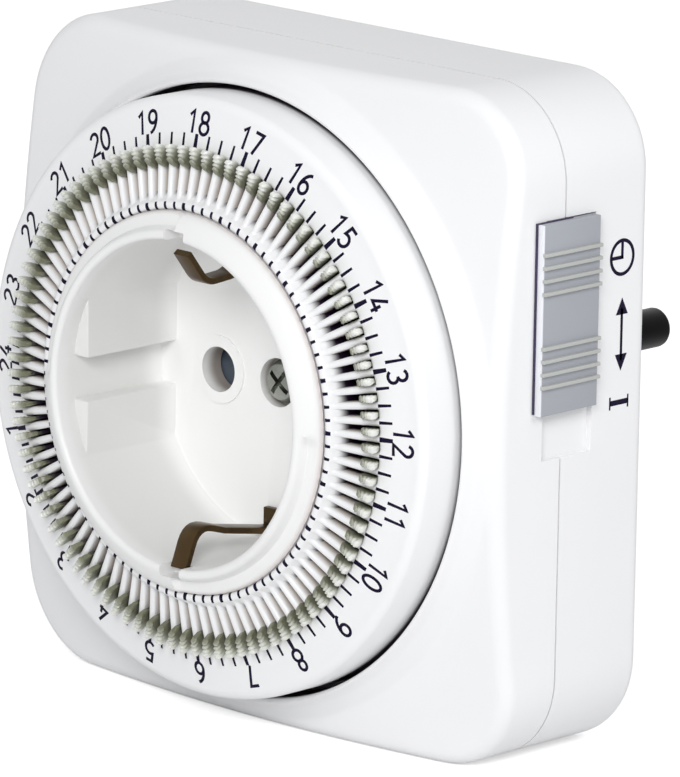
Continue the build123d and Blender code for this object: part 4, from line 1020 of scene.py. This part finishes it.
def bent_strip(name, corners, radius, thickness, half_width):
    """Flat strip bent along a path of (y, z) corners, with its long edges eased."""
    path = rounded_path(corners, radius)
    left, right = pen_stroke([tuple(point) for point in path], thickness)
    count = len(path)
    ease = 0.16
    eased = half_width - ease
    section = [(-eased, 1), (eased, 1), (half_width, 1 - ease), (half_width, ease - 1)]
    section += [(-x, -share) for x, share in section]
    points = []
    for (ly, lz), (ry, rz) in zip(left, right):
        for x, side_share in section:
            t = (1 + side_share) / 2
            points.append((x, ry + (ly - ry) * t, rz + (lz - rz) * t))
    size = len(section)
    faces = ring_faces(size, count)
    faces.append(list(range(size)))
    faces.append(list(range(count * size - 1, (count - 1) * size - 1, -1)))
    return link_mesh(name, points, faces)


clip_bronze = brushed_metal("clip_bronze", (0.105, 0.068, 0.032), 0.3, (1, 0.3, 0.3))
SPRINGS = {
    "top": [(-53.0, 17.7), (-50.0, 13.9), (-46.0, 14.2), (-38.6, 17.3)],
    "bottom": [(-52.8, 19.6), (-50.9, 14.6), (-46.5, 15.9), (-38.6, 17.3)],
}
for side, label in ((1, "top"), (-1, "bottom")):
    corners = SPRINGS[label] + [(-18.0, 17.3), (-16.6, 17.9), (-4.0, 17.9), (-2.0, 17.4)]
    corners = [(y, side * z) for y, z in corners]
    size = (CLIP_BEND_R, CLIP_THICKNESS, CLIP_HALF_WIDTH)
    clip = bent_strip(f"earth_strip_{label}", corners, *size)
    foot_x = (-CLIP_HALF_WIDTH, CLIP_HALF_WIDTH)
    foot = box_tool(foot_x, CLIP_FOOT_Y, limits(side, *CLIP_FOOT_Z), rounding=0.1)
    combine(clip, foot, "UNION")
    smooth(clip, 40)
    dress(clip, clip_bronze, "housing", [f"earth_clip_{label}"])


# Override slider. Blue-grey plastic cap that the user pushes down or up, with two groups of
# four ribs for the fingertip. Its neck goes through the housing to a flat carriage inside.
CAP_X = (39.7, 40.65)
CAP_Y = (-36.3, -26.8)
CAP_Z = (2.9, 25.0)
FOOT = ((38.95, 39.8), (-34.5, -26.8), (2.9, 25.0))
NECK_BLOCK = ((37.2, 39.1), (-34.95, -27.45), (9.0, 19.0))
CARRIAGE = ((35.45, 37.35), (-35.55, -25.95), (7.5, 20.5))
CAM_WEDGE = [(35.95, -35.7), (35.95, -33.1), (29.6, -33.1)]
CAM_Z = (13.6, 19.6)
RIB_X = (CAP_X[1] - 0.1, CAP_X[1] + 0.45)
RIB_HALF = 0.21
RIB_PITCH = 1.5
RIB_COUNT = 4
RIB_GROUP_Z = (6.3, 17.1)


def row_of_ribs_tree():
    """Geometry Nodes that repeat one rib upwards."""
    tree, given = copies_tree("row_of_ribs")
    step = add_node(tree, "ShaderNodeCombineXYZ", {"Z": given["Pitch"]})[0]
    row = tree.nodes.new("GeometryNodeMeshLine")
    row.mode = "OFFSET"
    feed(tree, row, {"Count": given["Count"], "Offset": step})
    return finish_tree(tree, given, {"Points": row.outputs[0]})


slider_grey = moulded_plastic("slider_grey", (0.37, 0.385, 0.42), 0.5, bump=0.12, variation=0.06)
slider_cap = box_tool(CAP_X, CAP_Y, CAP_Z, rounding=0.12, name="slider_cap")
for block in (FOOT, NECK_BLOCK, CARRIAGE):
    combine(slider_cap, box_tool(*block), "UNION")
wedge_points = [(x, y, z) for z in CAM_Z for x, y in CAM_WEDGE]
wedge_faces = [[0, 1, 2], [5, 4, 3], [0, 3, 4, 1], [1, 4, 5, 2], [2, 5, 3, 0]]
combine(slider_cap, link_mesh("tool", wedge_points, wedge_faces), "UNION")
smooth(slider_cap, 30)
# Painted light: the cap's front face, towards the user, is lighter grey.
shade_inside(slider_grey, -36.05, -36.2, 70, (0.78, 0.79, 0.83))
dress(slider_cap, slider_grey, "slider", ["override_slider"])
# A thin dark strip under the cap is painted shadow: it shows as the dark line along the cap's
# front and upper edges.
SHADOW_STRIP = ((39.53, 39.8), (-36.47, -30.5), (3.1, 25.12))
slider_shadow_strip = box_tool(*SHADOW_STRIP, rounding=0.03, name="slider_shadow_strip")
shadow_strip_dark = moulded_plastic("shadow_strip_dark", (0.035, 0.025, 0.07), 0.6, variation=0.1)
smooth(slider_shadow_strip, 30)
dress(slider_shadow_strip, shadow_strip_dark, "slider")
rib_grey = moulded_plastic("rib_grey", (0.47, 0.48, 0.46), 0.45, bump=0.1, variation=0.05)
row_of_ribs = row_of_ribs_tree()
for label, group_z in zip(("lower", "upper"), RIB_GROUP_Z):
    rib_z = (group_z - RIB_HALF, group_z + RIB_HALF)
    ribs = box_tool(RIB_X, CAP_Y, rib_z, rounding=0.05, name=f"slider_ribs_{label}")
    values = {"Count": RIB_COUNT, "Pitch": RIB_PITCH / 1000, "Material": rib_grey}
    run_tree(ribs, row_of_ribs, values)
    smooth(ribs, 30)
    assign(ribs, "slider")


# Signs beside the slider, in the same dark blue ink: a clock face for timed running, a
# double arrow for the slider's travel, and a lying I for always on.
SIDE_X = HALF_WIDTH
CLOCK_CENTRE = (-21.83, 19.19)
CLOCK_R = (1.87, 1.97)
ARROW_Y = -21.66
ARROW_Z = (5.93, 14.45)
ARROW_HEAD = (1.0, 1.95)
ON_SIGN_Z = 2.25
ON_SIGN_Y = (-23.32, -20.3)
SERIF_HALF = 0.75
SIGN_LINE = 0.42


def side_lift(u, v, height):
    """A point of the print on the housing's right side, u along Y and v along Z."""
    return (SIDE_X + INK_PROUD * height, u, v)


def side_strokes(name, strokes):
    """A sign on the housing's side from pen strokes, each a path with its width."""
    strips = [ink_strip(*pen_stroke(path, width), side_lift) for path, width in strokes]
    print_piece(name, strips, "housing")


clock_y, clock_z = CLOCK_CENTRE
clock_rim = arc(clock_y, clock_z, *CLOCK_R, 0, 360, 40)
upright_hand = [(clock_y, clock_z - 0.2), (clock_y, clock_z + 1.8)]
level_hand = [(clock_y + 0.2, clock_z), (clock_y - 1.75, clock_z)]
side_strokes("clock_sign", [(path, SIGN_LINE) for path in (clock_rim, upright_hand, level_hand)])
shaft = [(ARROW_Y, ARROW_Z[0] + 1.2), (ARROW_Y, ARROW_Z[1] - 1.2)]
side_strokes("double_arrow_sign", [(shaft, SIGN_LINE * 0.95)])
for label, tip, way in (("up", ARROW_Z[1], -1), ("down", ARROW_Z[0], 1)):
    half, length = ARROW_HEAD
    edge = [(ARROW_Y - 0.01, tip), (ARROW_Y - half, tip + way * length)]
    other = [(ARROW_Y + 0.01, tip), (ARROW_Y + half, tip + way * length)]
    print_piece(f"arrow_head_{label}", [ink_strip(edge, other, side_lift)], "housing")
stem = ([(y, ON_SIGN_Z) for y in ON_SIGN_Y], 0.62)
serifs = [([(y, ON_SIGN_Z - SERIF_HALF), (y, ON_SIGN_Z + SERIF_HALF)], 0.24) for y in ON_SIGN_Y]
side_strokes("always_on_sign", [stem] + serifs)


# Plug pins. Solid round metal pins with chamfered tips, painted nearly black for the dark
# reflections on the plating. A thinner root is moulded into the plug's face.
PLUG_PIN_END = 19.0
PLUG_PIN_ROOT_R = 2.2
PLUG_PIN_ROOT_Y = -4.0
pin_nickel = brushed_metal("pin_nickel", (0.005, 0.005, 0.006), 0.36, (1, 0.2, 1))
PIN_SECTION = [(0, PLUG_PIN_END), (0.95, PLUG_PIN_END), (1.15, PLUG_PIN_END - 0.06)]
PIN_SECTION += [(2.2, PLUG_PIN_END - 1.0), (2.34, PLUG_PIN_END - 1.2)]
PIN_SECTION += [(PLUG_PIN_R, PLUG_PIN_END - 1.45), (PLUG_PIN_R, 0.3), (PLUG_PIN_ROOT_R, 0.3)]
PIN_SECTION += [(PLUG_PIN_ROOT_R, PLUG_PIN_ROOT_Y), (0, PLUG_PIN_ROOT_Y)]
for side, label in ((1, "line"), (-1, "neutral")):
    pin = spin(f"plug_pin_{label}_shaped", lambda angle: PIN_SECTION, TURNED_SIDES)
    pin.data.transform(Matrix.Translation((side * PLUG_PIN_X / 1000, 0, 0)))
    smooth(pin, 35)
    dress(pin, pin_nickel, "housing", [f"plug_pin_{label}"])


# Screws of the housing and everything inside it. These pieces keep their CAD shapes and get
# their finishes: zinc-plated steel, brass, bronze, gear plastic and the motor's steel.
contact_brass = brushed_metal("contact_brass", (0.70, 0.54, 0.29), 0.32)
motor_steel = brushed_metal("motor_steel", (0.48, 0.48, 0.48), 0.4)
gear_natural = moulded_plastic("gear_natural", (0.80, 0.78, 0.71), 0.4, variation=0.05)
shutter_grey = moulded_plastic("shutter_grey", (0.075, 0.095, 0.125), 0.45, variation=0.08)
inside = (
    (zinc_steel, "housing_screws shutter_spring pivot_ring clutch_washer gear_axle"),
    (contact_brass, "earth_cross_strap contact_sleeve_line contact_sleeve_neutral"),
    (contact_brass, "neutral_busbar line_busbar switch_strap motor_pinion"),
    (gear_natural, "switch_lever drive_pinion clutch_gear reduction_gear"),
    (clip_bronze, "moving_contact"),
    (shutter_grey, "shutter"),
    (motor_steel, "motor"),
)
for finish, names in inside:
    for name in names.split():
        for material_slot in nodes[name].material_slots:
            material_slot.material = finish


# Floor, soft studio light and the camera that matches the photograph.
FLOOR_Z = -39.5
FLOOR_GLOW = 0.5
AMBIENT_LIGHT = 0.47
stage_material, stage_tree, stage_shader = new_material("pale_floor")
in_view = stage_tree.nodes.new("ShaderNodeLightPath").outputs["Is Camera Ray"]
stage_look = {
    "Base Color": (0.92, 0.92, 0.92, 1),
    "Roughness": 0.9,
    "Emission Color": (1, 1, 1, 1),
    "Emission Strength": calculate(stage_tree, "MULTIPLY", in_view, FLOOR_GLOW),
}
feed(stage_tree, stage_shader, stage_look)
bpy.ops.mesh.primitive_plane_add(size=6, location=(0, 0, FLOOR_Z / 1000))
floor = bpy.context.object
floor.name = "floor"
floor.data.materials.append(stage_material)

world = bpy.data.worlds.new("studio")
bpy.context.scene.world = world
world.use_nodes = True
world_tree = world.node_tree
ambient = world_tree.nodes["Background"]
feed(world_tree, ambient, {"Color": (0.97, 0.98, 1.0, 1), "Strength": AMBIENT_LIGHT})
white = add_node(world_tree, "ShaderNodeBackground", {"Strength": 1.0})[0]
seen = world_tree.nodes.new("ShaderNodeLightPath").outputs
glossy = calculate(world_tree, "MAXIMUM", seen["Is Camera Ray"], seen["Is Glossy Ray"])
clear = calculate(world_tree, "MAXIMUM", glossy, seen["Is Transmission Ray"])
backdrops = {"Fac": clear, 1: ambient.outputs[0], 2: white}
backdrop = add_node(world_tree, "ShaderNodeMixShader", backdrops)[0]
feed(world_tree, world_tree.nodes["World Output"], {"Surface": backdrop})


LAMPS = (("key", 0.4, 5.05, (0.52, -0.78, 0.46)), ("side", 0.6, 3.2, (0.95, 0.12, 0.75)))
for name, size, energy, spot in LAMPS:
    light = bpy.data.lights.new(name, "AREA")
    light.shape = "DISK"
    light.size = size
    light.energy = energy
    lamp = new_object(name, light)
    lamp.location = spot
    direction = Vector((0, -0.03, 0)) - Vector(spot)
    lamp.rotation_euler = direction.to_track_quat("-Z", "Y").to_euler()

AZIMUTH = 43.99
ELEVATION = 13.18
ROLL = 0.99
CAMERA_PLACE = (0.6377, -0.6873, 0.2127)
LENS = 372.98
azimuth, elevation, roll = (math.radians(angle) for angle in (AZIMUTH, ELEVATION, ROLL))
across = math.cos(elevation)
back = Vector((math.sin(azimuth) * across, -math.cos(azimuth) * across, math.sin(elevation)))
right = Vector((math.cos(azimuth), math.sin(azimuth), 0))
up = back.cross(right)
turned_right = right * math.cos(roll) + up * math.sin(roll)
turned_up = up * math.cos(roll) - right * math.sin(roll)
camera_data = bpy.data.cameras.new("camera")
camera_data.lens = LENS
camera_data.sensor_width = 36
camera_data.clip_start = 0.05
camera_data.clip_end = 20
camera = new_object("camera", camera_data)
turn = Matrix((turned_right, turned_up, back)).transposed().to_4x4()
camera.matrix_world = Matrix.Translation(CAMERA_PLACE) @ turn
bpy.context.scene.camera = camera
bpy.context.scene.view_settings.view_transform = "Standard"
